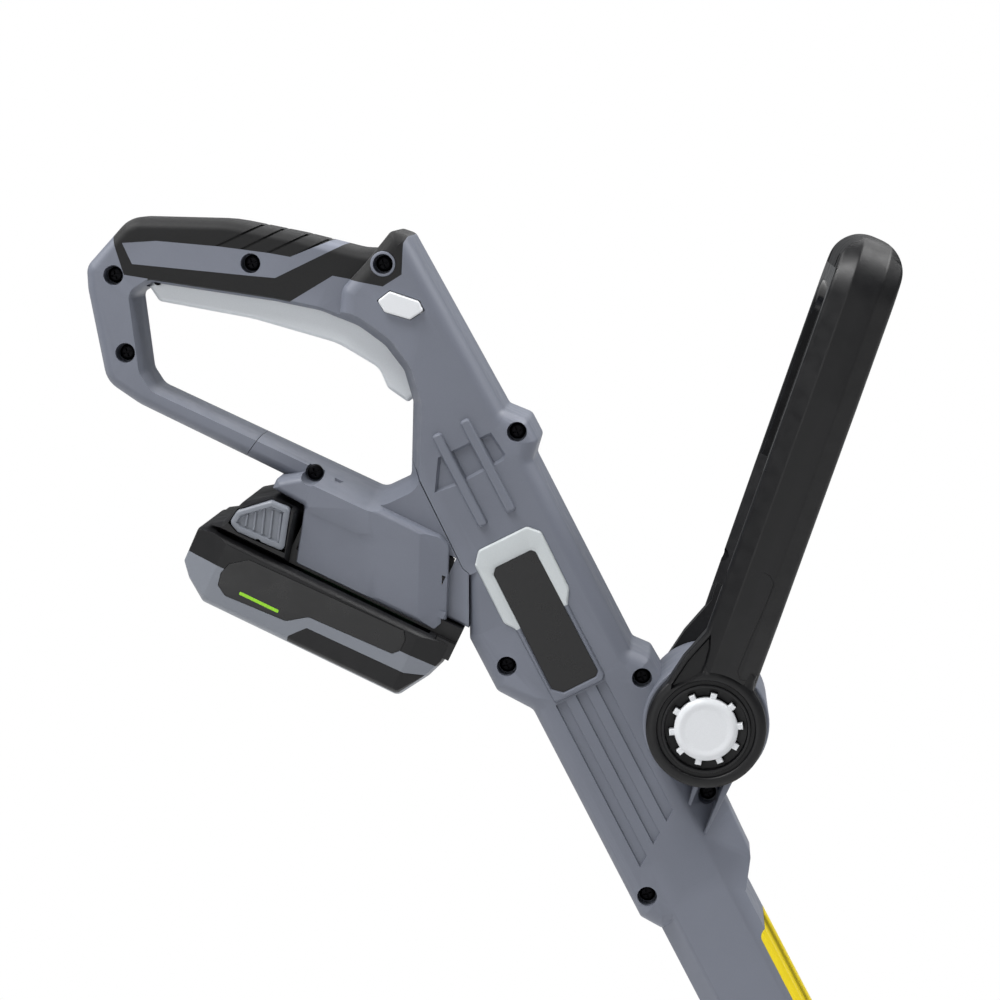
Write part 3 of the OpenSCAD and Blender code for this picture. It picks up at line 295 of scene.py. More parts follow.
def coatedBoard(name):
    tree, shader, place = startFinish(name, 0.6)
    colours = {"Color1": (20, 92, 52), "Color2": (26, 108, 60), "Mortar": (64, 140, 84)}
    values = {socket: (*linear(rgb), 1) for socket, rgb in colours.items()}
    tracks = stretchedOver(tree, place, "TexBrick", (160, 160, 160), {**values, "Mortar Size": 0.03})
    fine = noiseAt(tree, place, 0.8, 2)
    wire(tree, (tracks.outputs["Color"], shader.inputs["Base Color"]),
         (between(tree, fine, 0.25, 0.4), shader.inputs["Roughness"]))
    bumpFrom(tree, shader, tracks.outputs["Fac"], 0.03)


# colour, roughness, grain size, grain depth, mottle, wear and gloss
plastics = {
    "slateHousing": ((106, 110, 121), 0.5, 0.32, 0.018, 0.03, 0.35),
    "blackPlastic": ((15, 15, 17), 0.42, 0.4, 0.02, 0.08, 0.1, 0.35),
    "handlePlastic": ((12, 12, 14), 0.42, 0.4, 0.02, 0.06, 0.08, 0.35),
    # gloss black of the handle insert: its own glossy finish, with a darker colour that paints the shade of
    # a rebate
    "glossBlackAndShade": ((6, 6, 7), 0.16, 0.4, 0.002, 0.06, 0.02, 0.5),
    "dockPlastic": ((106, 110, 121), 0.5, 0.32, 0.018, 0.03, 0.35),
    "trimGrey": ((190, 195, 197), 0.4, 0.3, 0.01, 0.02, 0.1),
    "triggerGrey": ((212, 216, 220), 0.42, 0.3, 0.012, 0.02, 0.1),
    "buttonWhite": ((216, 218, 221), 0.4, 0.3, 0.012, 0.02, 0.1),
    "batteryGrey": ((118, 122, 130), 0.45, 0.3, 0.014, 0.03, 0.3),
    "plateBlack": ((10, 10, 12), 0.3, 0.5, 0.004, 0.06, 0.05, 0.5),
    "cellWrap": ((44, 92, 150), 0.3, 0.6, 0.006, 0.05, 0.1, 0.5),
    "spoolPlastic": ((186, 188, 186), 0.45, 0.4, 0.012, 0.04, 0.1),
    "nylonLine": ((150, 196, 60), 0.35, 0.9, 0.02, 0.06, 0.1, 0.5),
    "bandYellow": ((224, 200, 24), 0.36, 0.6, 0.002, 0.02, 0.02, 0.5),
    "accentGreen": ((142, 205, 32), 0.4, 0.5, 0.002, 0.02, 0.02),
}
# colour, roughness, stretch of the grain and its depth
metals = {
    # screws: a near-black finish, partly their own black plating and partly painted shade of their deep
    # recesses
    "blackZincAndShade": ((22, 22, 24), 0.4, (1, 1, 1), 0.006),
    "brightSteel": ((188, 190, 193), 0.24, (1, 1, 0.1), 0.004),
    "springSteel": ((150, 150, 152), 0.3, (1, 1, 1), 0.004),
    "drawnTube": ((198, 200, 204), 0.3, (1, 1, 0.02), 0.004),
    "platedBrass": ((208, 172, 92), 0.26, (1, 1, 1), 0.003),
}


def makeFinishes():
    for name, values in plastics.items():
        mouldedPlastic(name, *values)
    softRubber("softGrip", (17, 17, 18))
    for name, values in metals.items():
        drawnMetal(name, *values)
    coatedBoard("boardGreen")


slotFinish = {
    "housing": "slateHousing", "dock": "dockPlastic", "soft_black": "softGrip", "trim": "trimGrey",
    # the screws' near-black finish also paints the shade of their recesses
    "plate": "plateBlack", "screw_steel": "blackZincAndShade", "black_plastic": "blackPlastic",
    "handle_plastic": "handlePlastic", "board": "boardGreen", "brass": "platedBrass",
    "sleeve": "drawnTube", "tube_aluminium": "drawnTube", "trigger_plastic": "triggerGrey",
    "button_plastic": "buttonWhite", "spring_steel": "springSteel", "battery_grey": "batteryGrey",
    "cell_wrap": "cellWrap", "steel": "brightSteel", "spool_plastic": "spoolPlastic",
    "nylon": "nylonLine",
}

# ---- drawing helpers: outlines of (x, y, corner radius) in millimetres


def direction(a, b):
    d = Vector((b[0] - a[0], b[1] - a[1]))
    return d.normalized() if d.length > 1e-9 else Vector((1, 0))


def crossed(u, v):
    return u[0] * v[1] - u[1] * v[0]


def leftOf(u):
    return Vector((-u[1], u[0]))


def pointing(degrees):
    a = math.radians(degrees)
    return Vector((math.cos(a), math.sin(a)))


def turnAngle(u, v):
    return math.acos(max(-1, min(1, u.dot(v))))


def drawnIn(plan, d):
    out = []
    n = len(plan)
    if sum(crossed(plan[i - 1], plan[i]) for i in range(n)) < 0:
        d = -d
    for i in range(n):
        b = plan[i]
        u = direction(plan[i - 1], b)
        v = direction(b, plan[(i + 1) % n])
        p, q = leftOf(u), leftOf(v)
        m = (p + q) / (1 + p.dot(q))
        bend = crossed(u, v)
        sign = 1 if bend > 0 else -1 if bend < 0 else 0
        r = 0 if b[2] == 0 else max(0.2, b[2] - d * sign)
        out.append((b[0] + m[0] * d, b[1] + m[1] * d, r))
    return out


def cornerPoints(a, b, c, steps):
    u = direction(a, b)
    v = direction(b, c)
    turn = turnAngle(u, v)
    s = 1 if crossed(u, v) > 0 else -1
    if turn < 1e-4:
        return [Vector((b[0], b[1]))] * (steps + 1)
    p = leftOf(u) * s
    o = Vector((b[0], b[1])) - u * b[2] * math.tan(turn / 2) + p * b[2]
    out = []
    for k in range(steps + 1):
        a0 = s * turn * k / steps
        x = p[0] * math.cos(a0) - p[1] * math.sin(a0)
        y = p[0] * math.sin(a0) + p[1] * math.cos(a0)
        out.append(o - Vector((x, y)) * b[2])
    return out


def ringOf(plan, d=0.0, fine=9.0):
    moved = drawnIn(plan, d)
    n = len(plan)
    out = []
    for i in range(n):
        before, here, after = plan[i - 1], plan[i], plan[(i + 1) % n]
        if here[2] == 0:
            out.append(Vector(moved[i][:2]))
            continue
        turn = math.degrees(turnAngle(direction(before, here), direction(here, after)))
        steps = max(1, math.ceil(turn / fine))
        out += cornerPoints(moved[i - 1], moved[i], moved[(i + 1) % n], steps)
    return out


def grown(plan, d):
    return drawnIn(plan, -d)


def sharp(points):
    return [(p[0], p[1], 0) for p in points]


def strip(p, q, n):
    return [p - n, q - n, q + n, p + n]


def roundTop(y, depth, inset, steps=7, low=0.0):
    layers = [(low, 0.0), (y - depth, 0.0)]
    for k in range(1, steps + 1):
        a = math.radians(90 * k / steps)
        layers.append((y - depth + depth * math.sin(a), inset * (1 - math.cos(a))))
    return layers


# frames for drawings: the side view, the front view and the plan view
sideView = Matrix(((1, 0, 0, 0), (0, 0, -1, 0), (0, 1, 0, 0), (0, 0, 0, 1)))
frontView = Matrix(((0, 0, 1, 0), (1, 0, 0, 0), (0, 1, 0, 0), (0, 0, 0, 1)))
planView = Matrix.Identity(4)
mirrored = Matrix.Scale(-1, 4, (0, 1, 0))


def loft(name, rings, closed=False):
    bm = bmesh.new()
    rows = [[bm.verts.new(p * mm) for p in ring] for ring in rings]
    n = len(rows[0])
    pairs = list(zip(rows, rows[1:]))
    if closed:
        pairs.append((rows[-1], rows[0]))
    for low, high in pairs:
        for i in range(n):
            j = (i + 1) % n
            bm.faces.new((low[i], low[j], high[j], high[i]))
    if not closed:
        bm.faces.new(list(reversed(rows[0])))
        bm.faces.new(rows[-1])
    bmesh.ops.recalc_face_normals(bm, faces=bm.faces)
    mesh = bpy.data.meshes.new(name)
    bm.to_mesh(mesh)
    bm.free()
    return sceneObject(name, mesh)


def moulding(name, place, plan, layers, grow=0.0, fine=9.0, view3=sideView):
    rings = []
    for height, inset in layers:
        ring = ringOf(plan, inset - grow, fine)
        rings.append([(place @ view3 @ Vector((p[0] * mm, p[1] * mm, height * mm))) / mm for p in ring])
    return loft(name, rings)


def slab(name, place, plan, low, high, grow=0.0, fine=12.0, view3=sideView):
    return moulding(name, place, plan, [(low, 0), (high, 0)], grow, fine, view3)


def placed(place, view3, x, y, height):
    return (place @ view3 @ (Vector((x, y, height)) * mm)) / mm


def disc(name, place, centre, profile, steps=48, view3=sideView, closed=False):
    x, y = centre
    turns = [2 * math.pi * k / steps for k in range(steps)]
    rings = [[placed(place, view3, x + r * math.cos(a), y + r * math.sin(a), height) for a in turns]
             for height, r in profile]
    return loft(name, rings, closed)


def rod(name, place, centre, r, low, high, steps=48, view3=sideView):
    return disc(name, place, centre, [(low, r), (high, r)], steps, view3)


def block(name, place, low, high):
    x0, y0, z0 = low
    x1, y1, z1 = high
    plan = [(x0, y0, 0), (x1, y0, 0), (x1, y1, 0), (x0, y1, 0)]
    return slab(name, place, plan, z0, z1, view3=planView)


def forget(objs):
    for obj in objs:
        mesh = obj.data
        bpy.data.objects.remove(obj, do_unlink=True)
        if mesh and mesh.users == 0:
            bpy.data.meshes.remove(mesh)


def settle(obj):
    bpy.context.view_layer.update()
    graph = bpy.context.evaluated_depsgraph_get()
    mesh = bpy.data.meshes.new_from_object(obj.evaluated_get(graph))
    old = obj.data
    obj.modifiers.clear()
    obj.data = mesh
    if old.users == 0:
        bpy.data.meshes.remove(old)


def combine(obj, others, how):
    if not others:
        return obj
    for other in others:
        step = obj.modifiers.new(how, "BOOLEAN")
        step.operation = how
        step.solver = "EXACT"
        step.object = other
    settle(obj)
    forget(others)
    return obj


def cutAway(obj, *others):
    return combine(obj, list(others), "DIFFERENCE")


def addOn(obj, *others):
    return combine(obj, list(others), "UNION")


def keepWithin(obj, other):
    return combine(obj, [other], "INTERSECT")


def copied(obj, name, flip=None):
    mesh = obj.data.copy()
    if flip is not None:
        mesh.transform(flip)
        mesh.flip_normals()
    return sceneObject(name, mesh)


def tidyMesh(obj, weld=0.008):
    bm = bmesh.new()
    bm.from_mesh(obj.data)
    bmesh.ops.remove_doubles(bm, verts=bm.verts, dist=weld * mm)
    bmesh.ops.dissolve_degenerate(bm, edges=bm.edges, dist=weld * mm)
    bmesh.ops.recalc_face_normals(bm, faces=bm.faces)
    bm.to_mesh(obj.data)
    bm.free()


def splitWide(bm):
    bmesh.ops.triangulate(bm, faces=[f for f in bm.faces if len(f.verts) > 4])


def foldedEdges(mesh):
    bm = bmesh.new()
    bm.from_mesh(mesh)
    splitWide(bm)
    count = 0
    for edge in bm.edges:
        if len(edge.link_faces) == 2:
            a, b = edge.link_faces
            if a.normal.dot(b.normal) < -0.9 and min(a.calc_area(), b.calc_area()) > 1e-7:
                count += 1
    bm.free()
    return count


# angles of the edges that are bevelled, and of the faces that are shaded as one
rounding = {"limit": 34.0, "segments": 2, "shaded": 50.0}


# a bevel that folds is tried again with half the width, and left out in the end
def softened(obj, edge):
    plain = obj.data
    before = foldedEdges(plain)
    for width in (edge, edge / 2, edge / 4):
        obj.data = plain.copy()
        bevel = obj.modifiers.new("softEdge", "BEVEL")
        bevel.width = width * mm
        bevel.segments = rounding["segments"]
        bevel.limit_method = "ANGLE"
        bevel.angle_limit = math.radians(rounding["limit"])
        bevel.use_clamp_overlap = False
        settle(obj)
        tidyMesh(obj, 0.004)
        if foldedEdges(obj.data) <= before:
            return
    print("kept sharp:", obj.name)
    obj.data = plain


def evenNormals(mesh):
    around = [[] for v in mesh.vertices]
    faces = [(p.normal.copy(), max(p.area, 1e-12)) for p in mesh.polygons]
    for p in mesh.polygons:
        for v in p.vertices:
            around[v].append(p.index)
    least = math.cos(math.radians(rounding["shaded"]))
    out = [None] * len(mesh.loops)
    for p in mesh.polygons:
        own = faces[p.index][0]
        for corner in p.loop_indices:
            total = own * 1e-12
            for f in around[mesh.loops[corner].vertex_index]:
                normal, area = faces[f]
                if normal.dot(own) > least:
                    total = total + normal * area
            out[corner] = total.normalized() if total.length > 0 else own
    mesh.normals_split_custom_set(out)


def finishPiece(obj, body, slotName, replaced, edge, skin=None):
    tidyMesh(obj)
    if edge:
        softened(obj, edge)
    bm = bmesh.new()
    bm.from_mesh(obj.data)
    splitWide(bm)
    bmesh.ops.dissolve_degenerate(bm, edges=bm.edges, dist=0.002 * mm)
    bm.to_mesh(obj.data)
    bm.free()
    mesh = obj.data
    mesh.materials.clear()
    mesh.materials.append(finishes[skin or slotFinish[slotName]])
    mesh.polygons.foreach_set("use_smooth", [True] * len(mesh.polygons))
    mesh.update()
    evenNormals(mesh)
    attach(obj, body)
    if replaced:
        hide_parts(*replaced)


# a piece and its mirror image, each in the place of the node of its side
def finishSides(right, body, slotName, node, edge, left=None):
    left = left or copied(right, right.name.replace("Right", "Left"), mirrored)
    for obj, side in ((right, "right"), (left, "left")):
        finishPiece(obj, body.format(side), slotName, (node.format(side),), edge)


# ---- main housing

housing = {
    "barrelY": 26.0, "gripY": 18.0, "wall": 2.5, "recess": 8.4, "coverT": 1.6,
    "barrel": [(-19.3, -71, 2), (19.6, -73, 2), (27.8, -62, 4), (28.6, -40, 20), (29.6, 22, 5),
               (29, 34.5, 3), (23.6, 41, 3), (24, 131, 3), (29.8, 137, 3), (29.8, 147, 4), (23, 155, 3),
               (20.8, 238, 4), (16, 243, 3), (0, 236, 8), (-14, 231, 6), (-34, 200, 0), (-21.3, 156, 0),
               (-23, 101, 6), (-34.5, 77.5, 4), (-34.5, 51, 4), (-24.7, 37, 4), (-25, -62.5, 3)],
    "ring": [(-98.3, 106.6, 0), (-133, 173.2, 0), (-128, 197, 0), (-145, 197.3, 20), (-170, 203.5, 50),
             (-200, 209.5, 60), (-243, 210.5, 12), (-262, 189.5, 7), (-261.5, 180, 10), (-254, 141, 12),
             (-240, 131.5, 14), (-196, 110.3, 0), (-150, 88, 0)],
    "handGap": [(-232.5, 139.3, 6), (-137.2, 95.2, 6), (-125, 101, 4), (-124.2, 133, 3), (-128, 146, 8),
                (-136, 156.5, 10), (-147, 164.5, 15), (-163, 170.8, 20), (-182, 174.6, 0), (-234, 182.3, 2),
                (-240.8, 178, 3), (-236.8, 146, 6)],
    "dockSide": [(-203.6, 97.3), (-300, 40), (-300, -60), (-99.2, -60), (-99.2, 62.2), (-101.9, 64.4),
                 (-124.9, 111), (-140, 112), (-181.8, 127.7)],
    "lowerW": 39.0, "lowerY": 26.0, "lowerChamfer": 8.0,
    "bevelFrom": 13.7, "discR": 26.5, "discY": 29.0, "socketR": 12.06, "socketDepth": 5.5,
    "grooveLeft": (4, -5.4, -14.8), "grooveW": 4.9, "grooveTop": 35.0, "grooveDepth": 1.2,
    "ribAt": (-6.5, 6.7), "ribFrom": 116.5, "ribTo": 159.0, "ribH": 2.2, "ribW": 3.0,
    "windows": [(-10.4, 150.2), (14.2, 149.5), (15.4, 138.6), (13.4, 136.6), (-8.3, 136.2), (-18.6, 137.6)],
    "seamFill": [(-126, 114), (-101.9, 64.4), (-99.2, 61.5), (-93, 64.5), (-112, 114)],
    "gussets": [[(14, -20, 0), (0.2, -48.6, 0.6), (-0.6, -47.2, 0.6), (10.2, -20, 0)],
                [(-0.5, -22, 0), (-6, -36, 0.5), (-7.4, -35, 0.5), (-3.8, -22, 0)]],
    "innerRibs": (127, 59, 40, -12, -66, -110, -150, -197), "tubeBore": 13.61, "stemHole": 6.6,
    "hub": [(0, 26.5), (28, 26.5), (28.7, 26.2), (29, 25.6)],
}
barrelY = housing["barrelY"]


def onUpper(x, z):
    a = math.radians(tool["shaftAngle"])
    u = x - tool["handleOffset"]
    return (u * math.sin(a) - z * math.cos(a), u * math.cos(a) + z * math.sin(a))


# place in the side view, and the depth of the recess's rim from the parting plane
screws = {
    "places": [(-249.4, 186.1), (-244.8, 153.5), (-191.4, 191.2), (-135, 191.3), onUpper(23.8, 144.6),
               (-164.8, 103.6), onUpper(-25.4, 59), onUpper(22.8, 28.9), onUpper(24.2, -29.1),
               onUpper(-17.9, -55)],
    "rim": [18, 18, 18, 26, 26, 24, 26, 26, 18, 26],
    "sunk": 8.0, "shank": [(-6, 1.3), (-5.2, 1.6)], "shankHole": 1.75, "head": 3.4, "headHeight": 2.2,
    "boss": 5.8,
}


def barrelSteps(y):
    return roundTop(y, 7, 6.5, 7)


def gripSteps(y):
    return roundTop(y, 9, 5, 7)


def barrelForm(name):
    return moulding(name, alongShaft, housing["barrel"], barrelSteps(barrelY))


def ringForm():
    return moulding("ringForm", atPivot, housing["ring"], gripSteps(housing["gripY"]))


def gapLayers():
    steps = [(-1, 0), (7, 0)]
    knots = [(7, 0), (14, -0.8), (18, -2.5), (27, -5.5), (38, -8)]
    for k in range(1, 13):
        t = k / 12
        h = 7 + 31 * t
        for (h0, i0), (h1, i1) in zip(knots, knots[1:]):
            if h0 <= h <= h1 + 1e-6:
                steps.append((h, i0 + (i1 - i0) * (h - h0) / (h1 - h0)))
                break
    return steps


def gapForm(grow=0.0):
    return moulding("handGap", atPivot, housing["handGap"], gapLayers(), grow)


def lowerForm(d, low, high):
    w = housing["lowerW"] / 2 - d
    y = housing["lowerY"] - d
    c = housing["lowerChamfer"] - d * 0.586
    s = 0.5 if d else 0.0
    plan = [(w, s, 0), (-w, s, 0), (-w, c - y, 2.5), (c - w, -y, 2.5), (w, -y, 0)]
    return slab("lowerBody", alongShaft, plan, low, high, view3=planView, fine=15)


def bevelForm(grow=0.0):
    y = barrelY
    a = housing["bevelFrom"]
    plan = sharp([(a, -y), (a, -y - 9), (52, -y - 9), (52, 52 - a - y)])
    return slab("frontBevel", alongShaft, plan, -201 - grow, -4 + grow, grow, view3=planView)


def dockZone(gap=0.0, low=-1.0, high=37.0):
    return slab("dockZone", atPivot, sharp(housing["dockSide"]), low, high, -gap)


def screwBosses():
    return [rod("boss", atPivot, screws["places"][i], screws["boss"], -0.5, screws["rim"][i] - 1, 24)
            for i in housingScrews]


def screwRecesses(which):
    out = []
    wide = housing["recess"] / 2
    for i in which:
        centre, rim = screws["places"][i], screws["rim"][i]
        floor = rim - screws["sunk"]
        out.append(disc("recess", atPivot, centre, [(floor, wide - 0.2), (rim - 0.6, wide), (60, wide)], 32))
        out.append(rod("shankHole", atPivot, centre, screws["shankHole"], -1, floor + 1, 16))
    return out


def triggerPath():
    swept = []
    for step in (0.0, 1.5, 3.0, 4.5):
        turn = math.radians(step)
        px, pz = trigger["pivot"]
        points = []
        for x, z, r in trigger["line"]:
            dx, dz = x - px, z - pz
            points.append((px + dx * math.cos(turn) - dz * math.sin(turn),
                           pz + dx * math.sin(turn) + dz * math.cos(turn), 0))
        swept.append(slab("triggerPath", atPivot, grown(points, 0.5), -1, trigger["width"] / 2 + 1.4))
    return swept


trigger = {
    "line": [(-236, 181.5, 1.5), (-231.5, 174.8, 3), (-192, 167.6, 40), (-156, 157.4, 30), (-138.5, 147, 8),
             (-134.8, 138.5, 4), (-126.3, 132.6, 1.5), (-121.8, 136, 1.5), (-124, 150, 6), (-133, 160.5, 8),
             (-146, 168.5, 10), (-165, 176, 20), (-184, 180.5, 10), (-229, 188, 3)],
    "pivot": (-231.5, 183.2), "width": 22.0,
}
lockButton = {
    "line": [(-137.1, 176.2), (-134.2, 171.5), (-123.6, 168.4), (-118, 172.1), (-120, 176), (-132.1, 180.1)],
    "centre": (-127.6, 174.2), "proud": 2.5,
}
bezel = {
    "line": [(-17.6, 103, 1.5), (-13.3, 108, 2), (9.4, 107.7, 2), (13.7, 103, 2), (13.2, 76.5, 3),
             (9.6, 71, 3), (9.6, 37.4, 1.5), (8, 35.6, 1.5), (-14.5, 36, 1.5), (-14.8, 71.5, 3),
             (-18, 75.7, 3)],
    "plate": [(-12.4, 96, 1.5), (-10.2, 98.3, 1.5), (6.4, 98.1, 1.5), (7.7, 96.4, 1.5), (7.8, 40, 1.5),
              (6, 38.4, 1.5), (-9.2, 38.5, 1), (-13, 42, 1)],
    "thick": 2.2, "proud": 1.2, "sunk": 0.9, "splitAt": 70.8,
}
cover = {
    "zone": [(-249.8, 201.8), (-266, 216), (-118, 226), (-118, 203), (-124.6, 203.4), (-126.6, 199.9),
             (-127.2, 187), (-135.1, 182), (-156.9, 186.1), (-177, 174), (-181, 168), (-238, 177),
             (-234.8, 184.7), (-244.9, 186.3)],
    "inset": [(-245.5, 199.6), (-241.4, 190.8), (-188.3, 185.7), (-181.1, 185.1), (-151.6, 199.4),
              (-158.3, 200.6), (-174.7, 193.9), (-183.5, 195.5), (-204.6, 198.2), (-231.1, 200.5)],
    "grooves": [((-205.8, 198.2), (-187.5, 206.8)), ((-195.7, 196.7), (-178.2, 205.4)),
                ((-184.7, 195.3), (-168.5, 202.9)), ((-174.5, 193.6), (-159.3, 201))],
}
housingScrews = (0, 1, 2, 3, 4, 6, 7, 8, 9)
band = {"plan": [(16.5, -188, 3), (40, -188, 0), (40, -91, 0), (16.5, -91, 3)], "thick": 0.12}


def skinned(layers, t):
    return [(-1 if h == 0 else h, min(6.5, inset + t)) for h, inset in layers]


def coverArea(top):
    area = slab("coverArea", atPivot, sharp(cover["zone"]), -1, top)
    return cutAway(area, slab("coverInset", atPivot, sharp(cover["inset"]), -2, top + 3))


def ringCore(t):
    return moulding("ringCore", atPivot, housing["ring"], skinned(gripSteps(housing["gripY"] - t), t))


def coverCore():
    t = housing["coverT"]
    barrelLayers = skinned(barrelSteps(barrelY - t), t)
    core = moulding("coverCore", alongShaft, housing["barrel"], barrelLayers)
    return addOn(core, ringCore(t))


def coverSkin():
    outer = barrelForm("gripCoverRight")
    addOn(outer, ringForm())
    keepWithin(outer, coverArea(27))
    return cutAway(outer, coverCore())


def innerSteps(y, back, inset):
    w = housing["wall"]
    curve = [(y - back + (back - w) * k / 4, w + inset * (k / 4) ** 2) for k in (1, 2, 3, 4)]
    return [(-1, w), (y - back, w)] + curve


def hollowForm():
    y, w = barrelY, housing["wall"]
    form = moulding("barrelHollow", alongShaft, housing["barrel"], innerSteps(y, 7, 4), 0, 15)
    addOn(form, moulding("ringHollow", atPivot, housing["ring"], innerSteps(housing["gripY"], 8, 3), 0, 15))
    addOn(form, lowerForm(w, -197.5, -45.0))
    ribs = [block("rib", alongShaft, (-40, -40, z - 3), (40, 1, z)) for z in housing["innerRibs"]]
    wall = dockZone(-w, -1, 60)
    cutAway(wall, dockZone(0, -2, 61))
    hub = rod("handleDisc", atPivot, (0, 0), housing["discR"], -1, y)
    return cutAway(form, gapForm(w), bevelForm(w), hub, wall, *ribs, *screwBosses())


def gussets():
    layers = roundTop(barrelY - 1.5, 1, 0.6, 3, 6)
    return [moulding("gusset", atPivot, plan, layers) for plan in housing["gussets"]]


def barrelRibs():
    out = []
    w = housing["ribW"] / 2 + 0.4
    y = barrelY
    top = y + housing["ribH"]
    layers = [(y - 4.5, -1.3), (y - 3.2, -1.2), (top - 0.7, 0.0), (top - 0.3, 0.2), (top - 0.05, 0.5),
              (top, 0.8)]
    a, b = housing["ribFrom"], housing["ribTo"]
    for x in housing["ribAt"]:
        plan = [(x - w, a, 0.9), (x + w, a, 0.9), (x + w, b, 1.2), (x - w, b, 1.2)]
        out.append(moulding("rib", alongShaft, plan, layers, fine=15))
    return out


def housingCuts():
    y = barrelY
    out = screwRecesses(housingScrews) + triggerPath()
    out.append(slab("lockHole", atPivot, grown(sharp(lockButton["line"]), 0.35), 11, 71))
    out.append(rod("tubeBore", alongShaft, (0, 0), housing["tubeBore"], -201, 47, 40, planView))
    socketFloor = housing["discY"] - housing["socketDepth"]
    out.append(rod("socket", atPivot, (0, 0), housing["socketR"], socketFloor, 60))
    out.append(rod("stemHole", atPivot, (0, 0), housing["stemHole"], 10, 60, 32))
    out.append(rod("pinHole", atPivot, trigger["pivot"], 1.55, -1, 14, 16))
    w = housing["grooveW"]
    for i, x in enumerate(housing["grooveLeft"]):
        z = -27 - 6.2 * i
        plan = sharp([(x, housing["grooveTop"]), (x, z - 3.2), (x + w, z), (x + w, housing["grooveTop"])])
        out.append(moulding("groove", alongShaft, plan, [(y - housing["grooveDepth"], 0.25), (y + 4, -0.6)]))
    return out


def buildHousing():
    y = barrelY
    body = barrelForm("housingRight")
    addOn(body, lowerForm(0, -200, -45), ringForm(),
          slab("seamFill", atPivot, sharp(housing["seamFill"]), y - 12, y))
    cutAway(body, bevelForm(), dockZone(), gapForm())
    addOn(body, disc("handleDisc", atPivot, (0, 0), housing["hub"], 64), *gussets())
    cutAway(body, cutAway(coverArea(60), coverCore()))
    ring = [(y - 4, 5.3), (y - 0.3, 5.3), (y, 5.0)]
    addOn(body, disc("screwRing", atPivot, screws["places"][3], ring, 40))
    layers = [(y - 1.9, 1.2), (y + 0.02, 0), (y + 4, 0)]
    cutAway(body, moulding("window", alongShaft, sharp(housing["windows"]), layers), *housingCuts())
    cutAway(body, hollowForm())
    addOn(body, *barrelRibs())
    supports = block("shelf", atPivot, (-133.6, -y + 1.25, 183.5), (-121.6, 0, 185.5))
    addOn(supports, block("tab", atPivot, (-132.1, -9, 170), (-123.1, -7, 184)),
          block("post", atPivot, (-216, -17, 192), (-207, -7.5, 198)),
          block("bar", atPivot, (-176, -17, 191.8), (-164, -1, 193.8)))
    addOn(body, cutAway(supports, *triggerPath()))
    left = copied(body, "housingLeft", mirrored)
    cutAway(body, slab("bezelSeat", alongShaft, grown(bezel["line"], 0.12), y - 1.0, y + 8))
    finishSides(body, "main", "housing", "housing_{}", 0.28, left)


def buildCovers():
    skin = coverSkin()
    grooves = []
    for a, b in cover["grooves"]:
        d = direction(a, b)
        n = leftOf(d) * 0.45
        p = Vector(a) - d * 1.2
        q = Vector(b) + d * 6
        plan = sharp([(p + n), (p - n), (q - n), (q + n)])
        grooves.append(slab("groove", atPivot, plan, 6, 40))
    ring = rod("ringSeat", atPivot, screws["places"][3], 5.4, -1, 60, 40)
    cutAway(skin, gapForm(), *screwRecesses((2, 3, 0)), ring, *triggerPath())
    core = ringCore(0.8)
    for g in grooves:
        cutAway(g, copied(core, "core"))
    cutAway(skin, *grooves)
    forget([core])
    finishSides(skin, "main", "soft_black", "grip_cover_{}", 0.12)


def buildBand():
    t = band["thick"]
    skin = lowerForm(-t, -199, -80)
    cutAway(skin, bevelForm(-t * 0.7))
    core = lowerForm(0.02, -205, -70)
    cutAway(core, bevelForm(0.02))
    cutAway(skin, core)
    keepWithin(skin, slab("bandArea", alongShaft, band["plan"], -0.001, 40))
    finishPiece(onBothSides("yellowBand", skin), "main", "trim", (), 0, "bandYellow")


# ---- battery dock, trigger, lock buttons, bezel and screws

dock = {
    "line": [(-184, -14, 2), (-118.9, -14, 2), (-116.6, -7.6, 2), (-128.8, 21, 4), (-134, 23.1, 4),
             (-184, 23.1, 0), (-188, 27.5, 3), (-206, 15, 2), (-206, 10.2, 1), (-190.8, 9.6, 1)],
    "base": [(-140, -7.6, 0), (-104, -7.6, 2), (-95, 10, 0), (-130, 60, 0), (-160, 40, 0), (-186, 20, 0),
             (-150, 0, 0)],
    "sunkLow": [(-200, -18, 0), (-149.6, -18, 0), (-162.6, 9.2, 5), (-200, 8, 0)],
    "sunkHigh": [(-200, -18, 0), (-142.8, -18, 0), (-157, 11.9, 7), (-200, 9.9, 0)],
    "y": 34.0, "seam": 0.25, "sunk": 1.6, "crease": ((-139.8, 14.9), (-128.8, -9.8)),
}


def bothWays(layers):
    up = [step for step in layers if step[0] > 0]
    return [(-h, inset) for h, inset in reversed(up)] + up


def joined(name, objs):
    bm = bmesh.new()
    for obj in objs:
        bm.from_mesh(obj.data)
    mesh = bpy.data.meshes.new(name)
    bm.to_mesh(mesh)
    bm.free()
    forget(objs)
    return sceneObject(name, mesh)


def onBothSides(name, obj):
    return joined(name, [obj, copied(obj, name, mirrored)])


def sunkPanel():
    rings = []
    for plan, height in ((dock["sunkLow"], dock["y"] - dock["sunk"]), (dock["sunkHigh"], dock["y"] + 0.02)):
        ring = []
        for i, p in enumerate(plan):
            if p[2] == 0:
                ring.append(Vector(p[:2]))
            else:
                ring += cornerPoints(plan[i - 1], p, plan[(i + 1) % len(plan)], 6)
        rings.append([placed(alongBattery, sideView, q[0], q[1], height) for q in ring])
    return loft("sunkPanel", rings)


# takes off the side beyond the line from a to b, with a drop over a run
def fallAway(a, b, y, run, drop, low=-40.0):
    slope = drop / run
    plan = sharp([(0, y + 0.01), (0.7, y - 0.5 * slope), (run * 1.5, y - drop * 1.5), (run * 1.5, y + 12),
                  (-0.6, y + 12), (-0.6, y + 0.06)])
    d = direction(a, b)
    across = leftOf(d)
    turn = Matrix(((across[0], 0, d[0], a[0] * mm), (0, -1, 0, 0), (across[1], 0, d[1], a[1] * mm),
                   (0, 0, 0, 1)))
    return slab("fallAway", alongBattery @ turn, plan, low, 90.0, view3=planView)


